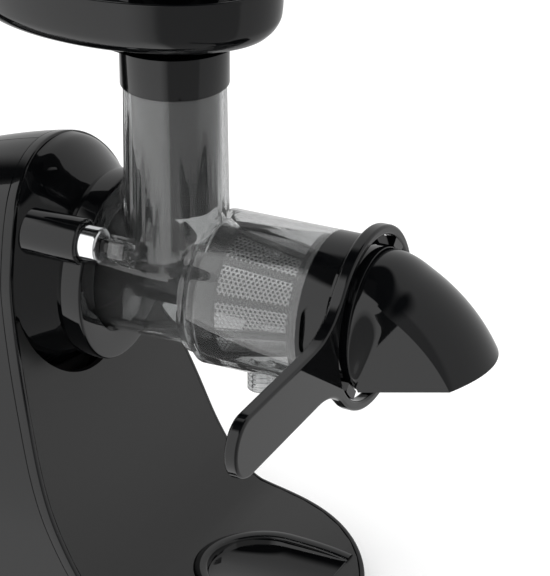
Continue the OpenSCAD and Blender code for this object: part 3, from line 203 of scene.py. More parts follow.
def smokeClear():   # smoky clear moulding, a little uneven in tint and polish
    look = smokeLook
    material = bpy.data.materials.new("smokeClear")
    tree = emptyTree(material)
    place = addNode(tree, "ShaderNodeTexCoord", out=3)
    cloudy = addNode(tree, "ShaderNodeTexNoise", None, {
        "Vector": place, "Scale": look["cloud"], "Detail": 1.0})
    deeper = tuple(x * look["deeper"] for x in look["tint"][:3]) + (1,)
    shader = addNode(tree, "ShaderNodeBsdfPrincipled", None, {
        "Base Color": mixColour(tree, cloudy, look["tint"], deeper),
        "Roughness": look["rough"] * (look["roughLow"] + look["roughSpan"] * cloudy),
        "IOR": look["index"], "Transmission Weight": look["clear"],
        "Coat Weight": 1.0, "Coat IOR": look["coatIndex"], "Coat Roughness": look["coatRough"]})
    addNode(tree, "ShaderNodeOutputMaterial", None, {"Surface": shader})
    return material


# hole is the radius of a hole, soft the blur of its edge and lip the width of the rim round it, whose colour
# is darkened with painted shade
sheetLook = dict(pitch=2.3, hole=0.84, soft=0.05, lip=0.25, rimShadeColour=grey(0.36), colour=grey(0.42),
                 rough=0.34, shine=0.08)


def perforatedSteel():
    # staggered round holes, cut out of the alpha, on the sheet's own UV map in millimetres
    look = sheetLook
    material = bpy.data.materials.new("perforatedSteel")
    tree = emptyTree(material)
    uv = addNode(tree, "ShaderNodeUVMap", {"uv_map": "unrolled"})
    along = addNode(tree, "ShaderNodeSeparateXYZ", None, {0: uv})
    around = Wire(tree, along.socket.node.outputs[1])
    across, step = look["pitch"], look["pitch"] * sqrt(3)

    def nearest(shift):   # distance to the nearest point of one rectangular lattice
        u = (along / across + shift).fraction() - 0.5
        v = (around / step + shift).fraction() - 0.5
        return ((u * across) ** 2 + (v * step) ** 2) ** 0.5
    gap = along.math("MINIMUM", nearest(0.0), nearest(0.5))
    metal = gap.ramp(look["hole"] - look["soft"], look["hole"] + look["soft"])
    # rim runs from 0 at a hole's edge to 1 on the open sheet: near the hole painted shade darkens the colour,
    # and the surface is also rougher there
    rim = gap.ramp(look["hole"], look["hole"] + look["lip"])
    shader = addNode(tree, "ShaderNodeBsdfPrincipled", None, {
        "Base Color": mixColour(tree, rim, look["rimShadeColour"], look["colour"]), "Metallic": 1.0,
        "Roughness": look["rough"] - look["shine"] * rim, "Alpha": metal})
    addNode(tree, "ShaderNodeOutputMaterial", None, {"Surface": shader})
    return material


def gridFaces(rows, cols, wrapRows=False, wrapCols=False):   # quads between neighbouring rows and columns
    r = np.arange(rows if wrapRows else rows - 1)
    c = np.arange(cols if wrapCols else cols - 1)
    r, c = np.meshgrid(r, c, indexing="ij")
    r2, c2 = (r + 1) % rows, (c + 1) % cols
    return np.stack([r * cols + c, r * cols + c2, r2 * cols + c2, r2 * cols + c], -1).reshape(-1, 4)


def piece(name, body, material, points, faces, replaces=(), sharp=38, flip=False, slot=None):
    # mesh from points in millimetres, smooth except at edges past the sharp angle in degrees
    mesh = bpy.data.meshes.new(name)
    faces = [tuple(f[::-1] if flip else f) for f in faces]
    mesh.from_pydata((np.asarray(points).reshape(-1, 3) * mm).tolist(), [], faces)
    mesh.validate()
    mesh.shade_smooth()
    mesh.set_sharp_from_angle(angle=radians(sharp))
    made = bpy.data.objects.new(name, mesh)
    bpy.context.scene.collection.objects.link(made)
    mesh.materials.append(material)
    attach(made, body)
    if replaces:
        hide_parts(*replaces)
    return made


def gridPiece(name, body, material, points, wrapRows=False, wrapCols=False, **more):
    # surface over a grid of points; its front looks along the column direction crossed with the row direction
    rows, cols = points.shape[:2]
    return piece(name, body, material, points, gridFaces(rows, cols, wrapRows, wrapCols), **more)


def thicken(made, depth, rim=0.0):   # wall inwards, then rounded rims
    wall = made.modifiers.new("wall", "SOLIDIFY")
    wall.thickness, wall.offset, wall.use_even_offset = depth * mm, -1, True
    if rim:
        roundEdges(made, rim)
    return made


def roundEdges(made, radius, angle=40, segments=3):   # bevel of the edges that turn by more than the angle
    rim = made.modifiers.new("rim", "BEVEL")
    rim.width, rim.segments = radius * mm, segments
    rim.limit_method, rim.angle_limit = "ANGLE", radians(angle)
    rim.harden_normals = True
    return made


weld = dict(reach=2e-6, flat=0.6)   # metres between doubles, degrees between faces that count as one


def mergedCopy(node, name, material, sharp=30, rim=0.0):   # a node's own mesh, merged and smoothed
    source = nodes[node]
    mesh = source.data.copy()
    mesh.name = name
    mesh.materials.clear()
    mesh.materials.append(material)
    work = bmesh.new()
    work.from_mesh(mesh)
    bmesh.ops.remove_doubles(work, verts=work.verts, dist=weld["reach"])
    bmesh.ops.dissolve_limit(work, angle_limit=radians(weld["flat"]), verts=work.verts, edges=work.edges)
    work.to_mesh(mesh)
    work.free()
    mesh.shade_smooth()
    mesh.set_sharp_from_angle(angle=radians(sharp))
    made = bpy.data.objects.new(name, mesh)
    bpy.context.scene.collection.objects.link(made)
    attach(made, body_of(source)[0])
    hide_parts(node)
    if rim:
        roundEdges(made, rim, angle=sharp)
    return made


def through(points, count):   # Catmull-Rom curve through the points, as one array
    p = np.asarray(points, float)
    p = np.vstack([2 * p[0] - p[1], p, 2 * p[-1] - p[-2]])
    s = np.linspace(0, len(p) - 3 - 1e-9, count)
    i, t = s.astype(int), (s - s.astype(int))[:, None]
    a, b, c, d = p[i], p[i + 1], p[i + 2], p[i + 3]
    square, cube = 2 * a - 5 * b + 4 * c - d, 3 * b - a - 3 * c + d
    return 0.5 * (2 * b + (c - a) * t + square * t ** 2 + cube * t ** 3)


def bezier(p, count):   # cubic through four control points
    t = np.linspace(0, 1, count)[:, None]
    p = np.asarray(p, float)
    return (1 - t) ** 3 * p[0] + 3 * (1 - t) ** 2 * t * p[1] + 3 * (1 - t) * t ** 2 * p[2] + t ** 3 * p[3]


def rounded(corners, radius, steps=5, sharpest=1e-3):
    # closed outline: each corner gives way to a parabola between the feet of an arc of its radius
    p = np.asarray(corners, float)
    radius = np.broadcast_to(radius, len(p))
    parts = []
    for k in range(len(p)):
        a, b, c = p[k - 1], p[k], p[(k + 1) % len(p)]
        toA, toC = np.linalg.norm(a - b), np.linalg.norm(c - b)
        u, v = (a - b) / toA, (c - b) / toC
        half = acos(float(np.clip(u @ v, -1, 1))) / 2
        cut = min(radius[k] / max(np.tan(half), 1e-6), 0.48 * toA, 0.48 * toC)
        if cut < sharpest:
            parts.append(b[None])
            continue
        t = np.linspace(0, 1, steps)[:, None]
        parts.append((1 - t) ** 2 * (b + u * cut) + 2 * t * (1 - t) * b + t ** 2 * (b + v * cut))
    return np.vstack(parts)


def revolve(profile, count=128, centre=(0.0, axisH), along="x"):
    # profile rows are (place along the axis, radius), carried round an axis through the centre
    profile = np.asarray(profile, float)
    turn = np.linspace(0, 2 * pi, count, endpoint=False)
    place, radius = profile[:, :1], profile[:, 1:2]
    across, up = centre[0] + radius * np.cos(turn), centre[1] + radius * np.sin(turn)
    return np.stack([place + 0 * turn, across, up] if along == "x" else [across, up, place + 0 * turn], -1)


def turnedPiece(name, body, material, profile, count=128, centre=(0.0, axisH), along="x", **more):
    # closed profile turned once round its axis
    points = revolve(profile, count, centre, along)
    return gridPiece(name, body, material, points, wrapRows=True, wrapCols=True, sharp=50, **more)


# The body: an arch over a flared flank, which draws in towards the rounded rear edge
form = dict(footW=165.0, rearX=-150.0, toeX=153.0, shoulderX=42.0, tongueZ=20.0, seamZ=14.15,
            archX=-13.0, archR=62.0, archShrink=12.0, crownDrop=33.0, crownBend=1.3, flank=0.7,
            flankShare=0.55, rearTaper=8.0, edgeRun=35.0, edgeIn=28.0, wall=2.8, trimW=5.5, gap=0.15,
            rim=0.35)
edgeX = form["rearX"] + form["edgeRun"]


def behind(x):   # 0 ahead of the arch, 1 where the rear edge starts to round
    return np.maximum(form["archX"] - x, 0) / (form["archX"] - edgeX)


def halfWidth(x):   # half the foot's width, less a taper that grows with the square of the way back
    return form["footW"] / 2 - form["rearTaper"] * behind(x) ** 2 / 2


def sidePoint(t, x, inset):
    # t runs up the side: a bell-shaped flank up to its share, then a quarter of a round arch
    share = form["flankShare"]
    r = form["archR"] - form["archShrink"] * behind(x)
    zs = axisH + form["archR"] - form["crownDrop"] * behind(x) ** form["crownBend"] - r
    d = np.clip(1 - t / share, 0, 1)
    bell = (1 - np.cos(pi * np.minimum(d / form["flank"], 1))) / 2
    a = np.clip((t - share) / (1 - share), 0, 1) * pi / 2
    y = np.where(t < share, r + (halfWidth(x) - r) * bell - inset, (r - inset) * np.cos(a))
    z = np.where(t < share, zs - (zs - form["seamZ"]) * d, zs + (r - inset) * np.sin(a))
    return y, z


# Control points of the front face, from the crown down to the toe. Those of upper are (place, height
# over the auger axis), those of lower (place, height over the tongue) and those of end (place ahead of
# the toe, height over the tongue).
front = dict(upper=[(-16.7, 63), (5, 6), (-14.5, 10), (7.3, -53), (20, -89)],
             lower=[(37, 7), (62, 0), (85, -3.5)], end=[(-27, 3), (1, -11)], steps=60)
frontBones = np.vstack([np.add(front["upper"], (0, axisH)), np.add(front["lower"], (0, form["tongueZ"])),
                        np.add(front["end"], (form["toeX"], form["tongueZ"]))])
browCurve, shinCurve, toeCurve = (bezier(frontBones[k:k + 4], front["steps"]) for k in (0, 3, 6))
frontCurve = np.vstack([browCurve, shinCurve[1:], toeCurve[1:]])


def frontX(z):   # place of the front face at height z
    return np.interp(z, frontCurve[::-1, 1], frontCurve[::-1, 0])


def frontZ(x):   # height of the tongue's top at x
    return np.interp(x, frontCurve[:, 0], frontCurve[:, 1])


def frontEdge(t, inset, back):   # a point of the side, some way behind the front face
    y, z = sidePoint(t, form["archX"], inset)
    x = np.minimum(frontX(z) - back, form["shoulderX"])
    y, z = sidePoint(t, np.minimum(x, form["archX"]), inset)
    return x, y, z


def sideSteps(flankCount=40, archCount=31):   # steps up the flank, then over the arch
    share = form["flankShare"]
    return np.concatenate([np.linspace(0, share, flankCount), np.linspace(share, 1, archCount)[1:]])


sideT = sideSteps()


def coverPoints(side, edgeRows=14, rows=26):
    # rows from the rounded rear edge to the trim band, columns up the flank and over the arch
    a = np.linspace(0, pi / 2, edgeRows)[:, None]
    t = sideT[None]
    x = edgeX - form["edgeRun"] * np.cos(a) + 0 * t
    y, z = sidePoint(t, x, form["edgeIn"] * (1 - np.sin(a)))
    xf = frontEdge(sideT, 0, form["trimW"] + form["gap"])[0]
    s = np.linspace(0, 1, rows)[1:, None]
    x2 = edgeX + (xf - edgeX) * s
    y2, z2 = sidePoint(t, x2, 0 * x2)
    x, y, z = np.vstack([x, x2]), np.vstack([y, y2]), np.vstack([z, z2])
    return np.stack([x, side * np.maximum(y, form["gap"] / 2), z], -1)


gloss = finish("glossBlack")
for side, node in ((-1, "right_cover"), (1, "left_cover")):
    made = gridPiece(node + "_shell", "base", gloss, coverPoints(side), flip=side < 0, replaces=[node],
                     slot=node)
    thicken(made, form["wall"], form["rim"])
print("covers made")


def bandPoints(edge=0.3, nose=1.3):
    # rounded cross-section (distance behind the face, inset) carried over the arch from foot to foot
    wide, wall = form["trimW"], form["wall"]
    profile = rounded([(wide, 0), (0, 0), (0, wall), (wide, wall)], [edge, nose, edge, edge], 6)
    t = np.concatenate([sideT, sideT[::-1][1:]])
    sign = np.concatenate([-np.ones(len(sideT)), np.ones(len(sideT) - 1)])
    rings = []
    for back, inset in profile:
        x, y, z = frontEdge(t, inset, back)
        rings.append(np.stack([x, sign * y, z], -1))
    return np.stack(rings)


gridPiece("trim_band_shell", "base", gloss, bandPoints(), wrapRows=True, replaces=["trim_band"],
          slot="trim_band", flip=True, sharp=60)
mergedCopy("front_panel", "front_panel_shell", finish("satinBlack"), sharp=24)
print("front made")


# Rows of the foot's wall from the middle of its base to the middle of its floor. Each is (distance in
# from the outline, height, what the height counts from, share of the plan).
wall = form["wall"]
footLook = dict(base=3.0, seam=0.15, rows=[
    (8.2, 0, "base", 0.001), (8.2, 0, "base", 0.5), (8.2, 0, "base", 1), (1.2, 0, "base", 1),
    (0.35, 0.35, "base", 1), (0, 1.2, "base", 1), (0, -1.0, "crest", 1), (0.2, -0.35, "crest", 1),
    (0.9, 0, "crest", 1), (wall - 0.4, 0, "crest", 1), (wall, -0.4, "crest", 1), (wall, wall, "base", 1),
    (16, wall, "base", 1), (16, wall, "base", 0.5), (16, wall, "base", 0.001)])
ringLook = dict(outer=8, inner=16, high=3.85, edge=0.6)


def footOutline(inset, edgeCount=14, sideCount=24, toeCount=80):
    # half outline from the rear to the toe, mirrored: the covers' plan, then an elliptic tongue
    a = np.linspace(0, pi / 2, edgeCount)
    x = edgeX - (form["edgeRun"] - inset) * np.cos(a)
    y = halfWidth(x) - form["edgeIn"] * (1 - np.sin(a)) - inset
    x2 = np.linspace(edgeX, form["shoulderX"], sideCount)[1:]
    y2 = halfWidth(x2) - inset
    b = np.linspace(1e-4, pi / 2, toeCount)
    x3 = form["shoulderX"] + (form["toeX"] - form["shoulderX"] - inset) * np.sin(b)
    y3 = (form["footW"] / 2 - inset) * np.cos(b)
    x, y = np.concatenate([x, x2, x3]), np.concatenate([y, y2, y3])
    return np.concatenate([x, x[::-1][1:]]), np.concatenate([y, -y[::-1][1:]])


def footPoints():
    # each row is the outline, set in and scaled, at its height over the base or over the crest of the wall
    x0 = footOutline(0)[0]
    crest = np.where(x0 > form["shoulderX"], frontZ(np.maximum(x0, form["shoulderX"])),
                     form["seamZ"] - footLook["seam"])
    datum = dict(base=footLook["base"] + 0 * crest, crest=crest)
    rows = []
    for inset, height, level, share in footLook["rows"]:
        x, y = footOutline(inset)
        rows.append(np.stack([x * share, y * share, datum[level] + height], -1))
    return np.stack(rows)


def ringPoints():   # rounded section (height, distance in from the outline) carried round the foot
    section = rounded([(0, ringLook["outer"]), (0, ringLook["inner"]), (ringLook["high"], ringLook["inner"]),
                       (ringLook["high"], ringLook["outer"])], ringLook["edge"], 4)
    rows = [(*footOutline(inset), height) for height, inset in section]
    return np.stack([np.stack([x, y, height + 0 * x], -1) for x, y, height in rows])


gridPiece("foot_wall", "base", gloss, footPoints(), wrapCols=True, replaces=["foot_shell"], slot="foot_shell",
          sharp=60, flip=True)
gridPiece("foot_ring_soft", "base", finish("rubberBlack"), ringPoints(), wrapRows=True, wrapCols=True,
          replaces=["foot_ring"], slot="foot_ring")

# edge rows are (distance in from the band's edge, height under its shoulder), and heel is the size of
# the slope where the band's inner side meets the floor
trayLook = dict(mid=102.0, halfWidth=36.0, rim=7.0, floor=15.0, proud=1.1, toe=17.0, clearance=0.2, sunk=2.0,
                edge=[(0, 1.0), (0.3, 0.35), (1.1, 0)], crown=0.35, heel=0.8)


def trayPath(grow, count=90, straight=16):
    # U outline open to the toe: a half circle between two straight sides
    r = trayLook["halfWidth"] + grow
    end = form["toeX"] - trayLook["toe"]
    a = np.linspace(pi / 2, 3 * pi / 2, count)
    x = np.concatenate([np.linspace(end, trayLook["mid"], straight)[:-1], trayLook["mid"] + r * np.cos(a),
                        np.linspace(trayLook["mid"], end, straight)[1:]])
    y = np.concatenate([np.full(straight - 1, r), r * np.sin(a), np.full(straight - 1, -r)])
    return np.stack([x, y], -1)


def trayPoints():
    # rounded band (inset from the outline, height over the tongue) carried round the U, then a flat floor
    look = trayLook
    rim, proud, floor = look["rim"], look["proud"], look["floor"]
    outside = [(inset, proud - drop) for inset, drop in look["edge"]]
    inside = [(rim - inset, lift) for inset, lift in outside[::-1]]
    section = [(0, -look["sunk"]), *outside, (rim / 2, proud + look["crown"]), *inside]
    tongue = frontZ(trayPath(-look["clearance"])[:, 0])
    rows = []
    for inset, lift in section:
        line = trayPath(-look["clearance"] - inset)
        rows.append(np.stack([line[:, 0], line[:, 1], tongue + lift], -1))
    for slope, side in ((0, 1), (look["heel"], 1), (look["heel"], 0)):
        line = trayPath(-look["clearance"] - slope - rim)
        height = np.full(len(line), floor + look["heel"] - slope)
        rows.append(np.stack([line[:, 0], side * line[:, 1], height], -1))
    return np.stack(rows)


gridPiece("tray_insert_shell", "base", gloss, trayPoints(), replaces=["tray_insert"], slot="tray_insert",
          sharp=50)
print("foot made")


# Turned profiles are rows of (place along the axis, radius); round holds the radius of each corner
noseLook = dict(skin=[(-14.5, 61.1), (-9, 60.0), (-4, 57.3), (1.5, 53.2), (5, 50.6), (8.5, 48.2), (11, 46.8),
                      (13.2, 45.9), (16.5, 45.2)], bore=33.0, steps=70)
noseProfile = np.vstack([through(noseLook["skin"], noseLook["steps"]),
                         [(x, noseLook["bore"]) for x in (noseLook["skin"][-1][0], noseLook["skin"][0][0])]])
turnedPiece("nose_dome", "base", gloss, noseProfile, replaces=["nose_housing"], slot="nose_housing",
            count=192)

socketLook = dict(profile=[(12, 33), (12, 46.2), (15.4, 48), (26, 48), (26, 33)],
                  round=[0.3, 0.3, 0.8, 1.6, 1.2])
turnedPiece("socket_collar", "base", gloss, rounded(socketLook["profile"], socketLook["round"], 8),
            replaces=["socket_ring"], slot="socket_ring", count=192)

latchCentre = (-46.0, axisH + 33)   # middle of the pod, button and pin, seen from ahead
podLook = dict(profile=[(-1, 0.1), (-1, 11.6), (28.5, 11.6), (28.5, 9.1), (3, 9.1), (3, 0.1)],
               round=[0, 0.5, 1.0, 0.5, 0.3, 0])
turnedPiece("latch_pod_shell", "base", gloss, rounded(podLook["profile"], podLook["round"], 6), count=96,
            centre=latchCentre, replaces=["latch_pod"], slot="latch_pod")
buttonLook = dict(profile=[(8.4, 2.1), (8.4, 8.8), (38.5, 8.8), (38.5, 2.1)], round=[0.3, 0.5, 1.8, 0.3])
turnedPiece("release_cap", "release", finish("chrome"),
            rounded(buttonLook["profile"], buttonLook["round"], 8), count=96, centre=latchCentre,
            replaces=["release_button"], slot="release_button")
pinLook = dict(profile=[(0.6, 0.05), (0.6, 2.0), (38.6, 2.0), (38.6, 3.6), (48.4, 3.6), (48.4, 0.05)],
               round=[0, 0.3, 0.2, 0.4, 0.7, 0])
turnedPiece("latch_pin_rod", "release", finish("softBlack"), rounded(pinLook["profile"], pinLook["round"], 4),
            count=48, centre=latchCentre, replaces=["latch_pin"], slot="latch_pin")
print("nose and latch made")


mergedCopy("drum", "drum_clear", smokeClear(), sharp=34)
basket = dict(x0=82.65, r0=34.2, x1=131.2, r1=24.8, sheet=0.4, unrollR=30.0)


def basketPoints(rows=24, cols=180):
    # cone x, r(x) = r0 + (r1 - r0)(x - x0) / (x1 - x0), with its outer and inner skins joined at both ends
    s = np.concatenate([np.linspace(0, 1, rows), np.linspace(1, 0, rows)])
    out = np.concatenate([np.zeros(rows), np.full(rows, basket["sheet"])])
    return revolve(np.stack([basket["x0"] + (basket["x1"] - basket["x0"]) * s,
                             basket["r0"] + (basket["r1"] - basket["r0"]) * s - out], -1), cols)


def unrollCone(made):
    # UV in millimetres: place along the axis, and the angle round it times the cone's mean radius
    unrolled = made.data.uv_layers.new(name="unrolled")
    corner = np.empty(len(made.data.loops), dtype=np.int32)
    made.data.loops.foreach_get("vertex_index", corner)
    where = np.empty(len(made.data.vertices) * 3)
    made.data.vertices.foreach_get("co", where)
    where = where.reshape(-1, 3)[corner] / mm
    angle = np.arctan2(where[:, 1], where[:, 2] - axisH)
    first = np.repeat(angle.reshape(-1, 4)[:, :1], 4, axis=1).ravel()
    angle = angle + 2 * pi * np.round((first - angle) / (2 * pi))   # each face stays on one side of the seam
    unrolled.data.foreach_set("uv", np.stack([where[:, 0], angle * basket["unrollR"]], -1).ravel())


unrollCone(gridPiece("screen_sheet_cone", body_of(nodes["screen_sheet"])[0], perforatedSteel(),
                     basketPoints(), wrapRows=True, wrapCols=True, replaces=["screen_sheet"],
                     slot="screen_sheet", sharp=50))

mergedCopy("end_cap", "end_cap_shell", gloss, rim=0.5)
mergedCopy("lever_ring", "lever_ring_arm", gloss, rim=1.6)
hoodLook = dict(pivot=(163.2, 26.7), radius=35.2, reach=62.0, dip=19.0, turn=77.0, side=28.5, arch=10.5,
                lip=3.0, blend=0.3, wall=1.8, rim=0.4,
                collar=[(155, 32.9), (155, 35.5), (163.6, 35.5), (163.6, 32.9)])


def hoodPoints(rows=60, cols=41):
    # sections turn about the lower rear corner; each mixes a circle (q 0..2 is 45 q degrees from the
    # shoulder up) with flat sides under the parabola top - arch v^2, by the smooth step of t / blend
    look = hoodLook
    t = np.linspace(0, 1, rows)[:, None]
    q = np.linspace(0, 2, cols)[None]
    low = -degrees(asin((look["pivot"][1] - look["lip"]) / look["radius"]))
    a = np.radians(np.where(q < 1, low + (45 - low) * q, 45 * q))
    top = (1 - t) * (look["pivot"][1] + look["radius"]) + t * look["reach"] - look["dip"] * t * (1 - t)
    v = np.clip(2 - q, 0, 1)
    loafY = look["side"] * v
    loafD = np.where(q < 1, look["lip"] + (top - look["arch"] - look["lip"]) * q, top - look["arch"] * v ** 2)
    s = np.clip(t / look["blend"], 0, 1)
    s = s * s * (3 - 2 * s)
    y = look["radius"] * np.cos(a) * (1 - s) + loafY * s
    d = (look["pivot"][1] + look["radius"] * np.sin(a)) * (1 - s) + loafD * s
    y, d = np.hstack([y, -y[:, ::-1][:, 1:]]), np.hstack([d, d[:, ::-1][:, 1:]])
    phi = np.radians(look["turn"]) * t
    return np.stack([look["pivot"][0] + d * np.sin(phi), y, axisH - look["pivot"][1] + d * np.cos(phi)], -1)


hood = gridPiece("pulp_hood_shell", "hood", gloss, hoodPoints(), replaces=["pulp_hood"], slot="pulp_hood",
                 sharp=60)
thicken(hood, hoodLook["wall"], hoodLook["rim"])
turnedPiece("pulp_hood_collar", "hood", gloss, rounded(hoodLook["collar"], hoodLook["rim"], 4),
            slot="pulp_hood")
print("cap, lever and hood made")


# Rows of the bowl are half length, half width, how far ahead of the bowl's middle, height over the axis
chuteX = (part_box("pusher")[0][0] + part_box("pusher")[1][0]) / 2 / mm
bowlLook = dict(back=26.5, thick=(2.4, 2.4, 0, -1.6), steps=40,
                skin=[(33.5, 33.5, 26.5, 128.0), (47, 29, 0.0, 129.3), (70, 41, 0, 132.6),
                      (76.2, 47.2, 0, 135.8), (79.6, 50.6, 0, 140.6), (80.6, 51.6, 0, 145), (81, 52, 0, 152),
                      (81, 52, 0, 160)],
                rim=[(80.7, 51.7, 0, 160.7), (79.9, 50.9, 0, 161), (79, 50, 0, 160.7), (78.6, 49.6, 0, 160)],
                collar=[(104.5, 25.7), (104.5, 26.6), (128, 26.6), (129, 22.3), (122.3, 22.3), (122.3, 25.7)],
                round=[0.3, 0.4, 0.3, 0.3, 0.2, 0.2])


def ovalRing(a, b, x, z, count=160):   # ellipse of half axes a and b round x at height z over the axis
    t = np.linspace(0, 2 * pi, count, endpoint=False)
    return np.stack([x + a * np.cos(t), b * np.sin(t), axisH + z + 0 * t], -1)


def hopperPoints():   # ovals from the collar out to the rim, over it and back down inside
    skin = through(bowlLook["skin"], bowlLook["steps"])
    inside = skin[::-1] - bowlLook["thick"]
    return np.stack([ovalRing(a, b, chuteX - bowlLook["back"] + ahead, z)
                     for a, b, ahead, z in np.vstack([skin, bowlLook["rim"], inside[2:]])])


gridPiece("hopper_bowl", "tray", gloss, hopperPoints(), wrapCols=True, replaces=["hopper"], slot="hopper",
          sharp=50)
turnedPiece("hopper_collar", "tray", gloss, rounded(bowlLook["collar"], bowlLook["round"], 4) + (axisH, 0),
            centre=(chuteX, 0.0), along="z", slot="hopper")

# The tube is a cup that opens upwards; the knob stands over its rim by over and draws in by taper
plungerLook = dict(wall=2.8, over=7.0, taper=3.0, core=0.1, tubeRound=[0, 1.0, 0.3, 0.3, 0.5, 0],
                   knobRound=[0, 1.5, 2.5, 0])


def plungerProfiles():   # closed outlines (height, radius) of tube and knob, from their nodes' boxes
    look = plungerLook
    low, high = boxOf("pusher")
    r, floor, top, knobTop = (high[0] - low[0]) / 2, low[2], high[2], boxOf("pusher_cap")[1][2]
    wall, core = look["wall"], look["core"]
    tube = rounded([(floor, core), (floor, r), (top, r), (top, r - wall), (floor + wall, r - wall),
                    (floor + wall, core)], look["tubeRound"], 5)
    knob = rounded([(top, core), (top, r + look["over"]), (knobTop, r + look["over"] - look["taper"]),
                    (knobTop, core)], look["knobRound"], 8)
    return tube, knob


tube, knob = plungerProfiles()
turnedPiece("pusher_tube", "plunger", gloss, tube, centre=(chuteX, 0.0), along="z", replaces=["pusher"],
            slot="pusher")
turnedPiece("pusher_knob", "plunger", finish("softBlack"), knob, centre=(chuteX, 0.0), along="z",
            replaces=["pusher_cap"], slot="pusher_cap")
print("hopper and pusher made")


# Nodes that keep their own shape, by finish
kept = {
    "glossBlack": ["rear_panel", "screen_frame"],
    "mattBlack": ["rear_grille", "switch_bezel", "motor_cradle"],
    "softBlack": ["power_rocker", "auger"],
    "rubberBlack": ["cord_gland", "shaft_seal", "cap_seal"],
    "silicone": ["drum_gasket"],
    "acetal": ["auger_bush", "first_gear", "cooling_fan"],
    "nylonGrey": ["gear_case", "gear_lid"],
    "groundSteel": ["gear_pins", "output_shaft", "output_bearings", "motor_shaft", "motor_bearings",
                    "second_gear", "latch_spring"],
    "plate": ["foot_screws", "case_screws", "motor_stator"],
    "castAlloy": ["motor_front", "motor_rear"],
    "brass": ["output_gear"],
    "copper": ["motor_coils", "motor_rotor"],
    "carbon": ["motor_brushes"],
    "boardGreen": ["circuit_board"],
    "partGrey": ["board_parts"],
}
for name, members in kept.items():
    for node in members:
        slots = nodes[node].material_slots
        if not slots:
            nodes[node].data.materials.append(finish(name))
        for held in slots:
            held.material = finish(name)
print("kept nodes dressed")


view = dict(place=(682.08, -1194.09, 830.65), back=(0.3886, -0.8090, 0.4409), right=(0.9014, 0.4330, 0.0),
            lens=197.5, sensor=36.0, near=0.05, far=50.0)


def placeCamera():   # the camera's axes are right, up = back x right, and back
    camera = bpy.data.objects.new("camera", bpy.data.cameras.new("camera"))
    bpy.context.scene.collection.objects.link(camera)
    back, right = Vector(view["back"]).normalized(), Vector(view["right"]).normalized()
    turn = Matrix((right, back.cross(right), back)).transposed().to_4x4()
    camera.matrix_world = Matrix.Translation(Vector(view["place"]) * mm) @ turn
    camera.data.sensor_fit, camera.data.sensor_width = "HORIZONTAL", view["sensor"]
    camera.data.lens = view["lens"]
    camera.data.clip_start, camera.data.clip_end = view["near"], view["far"]
    bpy.context.scene.camera = camera


placeCamera()

# Glossy surfaces see a room of white walls. One side is dim with a dark strip, and gaps stand behind
# and overhead. Places are azimuths and heights in degrees, with the softness of an edge last.
room = dict(wall=1.3, dim=0.62, dark=0.4, gap=0.97, dimSide=(-96, -72), darkStrip=(-78, -10, 3),
            rearGap=(150, 181, 10), roofGap=(56, 64))


def raySwitches(tree):   # 1 where a camera ray looks, 1 where a reflected ray looks
    lights = addNode(tree, "ShaderNodeLightPath").socket.node.outputs
    return Wire(tree, lights["Is Camera Ray"]), Wire(tree, lights["Is Glossy Ray"])


def studioWorld():   # white for the camera, the room for reflections, and even light for the rest
    world = bpy.data.worlds.new("studio")
    bpy.context.scene.world = world
    tree = emptyTree(world)
    split = addNode(tree, "ShaderNodeSeparateXYZ", None, {0: addNode(tree, "ShaderNodeTexCoord", out=0)})
    x, y, z = (Wire(tree, split.socket.node.outputs[k]) for k in range(3))
    azimuth = x.math("ARCTAN2", y, x) * (180 / pi)
    height = x.math("ARCSINE", z) * (180 / pi)
    level = room["dim"] + (room["wall"] - room["dim"]) * (1 - azimuth.ramp(*room["dimSide"]))
    level = level - (room["dim"] - room["dark"]) * azimuth.band(*room["darkStrip"])
    level = level * (1 - room["gap"] * azimuth.band(*room["rearGap"]))
    level = level * (1 - room["gap"] * height.ramp(*room["roofGap"]))
    isCamera, isGlossy = raySwitches(tree)
    strength = (isGlossy * level + (1 - isGlossy)) * (1 - isCamera) + isCamera
    shade = addNode(tree, "ShaderNodeBackground", None, {"Color": (1, 1, 1, 1), "Strength": strength})
    addNode(tree, "ShaderNodeOutputWorld", None, {"Surface": shade})


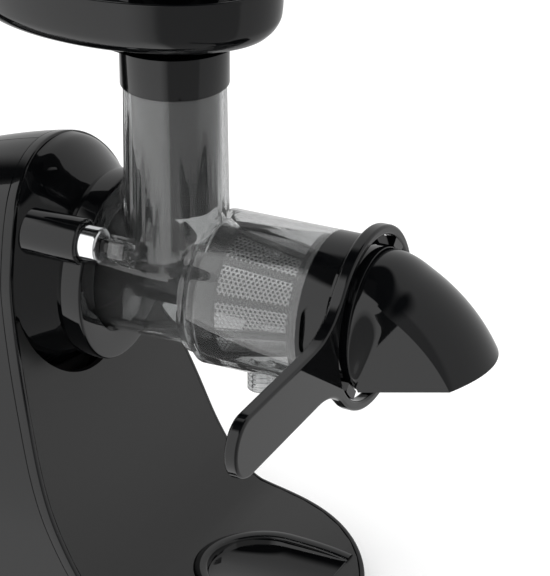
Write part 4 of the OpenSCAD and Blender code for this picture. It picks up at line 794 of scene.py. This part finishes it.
floorLook = dict(half=6.0, speck=3.0, low=grey(0.93), high=grey(0.95), rough=0.9, glow=0.12)   # half: metres


def floorPiece():   # pale floor that takes the shadow, glows a little and is clear to reflections
    mesh = bpy.data.meshes.new("floor")
    s = floorLook["half"]
    mesh.from_pydata([(-s, -s, 0), (s, -s, 0), (s, s, 0), (-s, s, 0)], [], [(0, 1, 2, 3)])
    made = bpy.data.objects.new("floor", mesh)
    bpy.context.scene.collection.objects.link(made)
    material = bpy.data.materials.new("paleFloor")
    tree = emptyTree(material)
    place = addNode(tree, "ShaderNodeTexCoord", out=3)
    speck = addNode(tree, "ShaderNodeTexNoise", None, {"Vector": place, "Scale": floorLook["speck"]})
    plain = addNode(tree, "ShaderNodeBsdfPrincipled", None, {
        "Base Color": mixColour(tree, speck, floorLook["low"], floorLook["high"]),
        "Roughness": floorLook["rough"], "Specular IOR Level": 0.0})
    isCamera, isGlossy = raySwitches(tree)
    glow = addNode(tree, "ShaderNodeEmission", None, {
        "Color": (1, 1, 1, 1), "Strength": floorLook["glow"] * isCamera})
    lit = addNode(tree, "ShaderNodeAddShader", None, {0: plain, 1: glow})
    clear = addNode(tree, "ShaderNodeBsdfTransparent")
    surface = addNode(tree, "ShaderNodeMixShader", None, {0: isGlossy, 1: lit, 2: clear})
    addNode(tree, "ShaderNodeOutputMaterial", None, {"Surface": surface})
    mesh.materials.append(material)


topLight = dict(place=(0.1, -0.3, 1.6), aim=(0.05, 0, 0.15), size=(1.2, 1.2), power=9)   # metres and watts


def softBox(name, look):   # rectangular lamp that no reflection shows
    lamp = bpy.data.objects.new(name, bpy.data.lights.new(name, "AREA"))
    bpy.context.scene.collection.objects.link(lamp)
    lamp.data.shape, lamp.data.energy = "RECTANGLE", look["power"]
    lamp.data.size, lamp.data.size_y = look["size"]
    lamp.location = look["place"]
    lamp.rotation_euler = (Vector(look["aim"]) - Vector(look["place"])).to_track_quat("-Z", "Y").to_euler()
    lamp.visible_glossy = False


studioWorld()
floorPiece()
softBox("topBox", topLight)
print("studio made")

bpy.context.scene.view_settings.view_transform = "Standard"
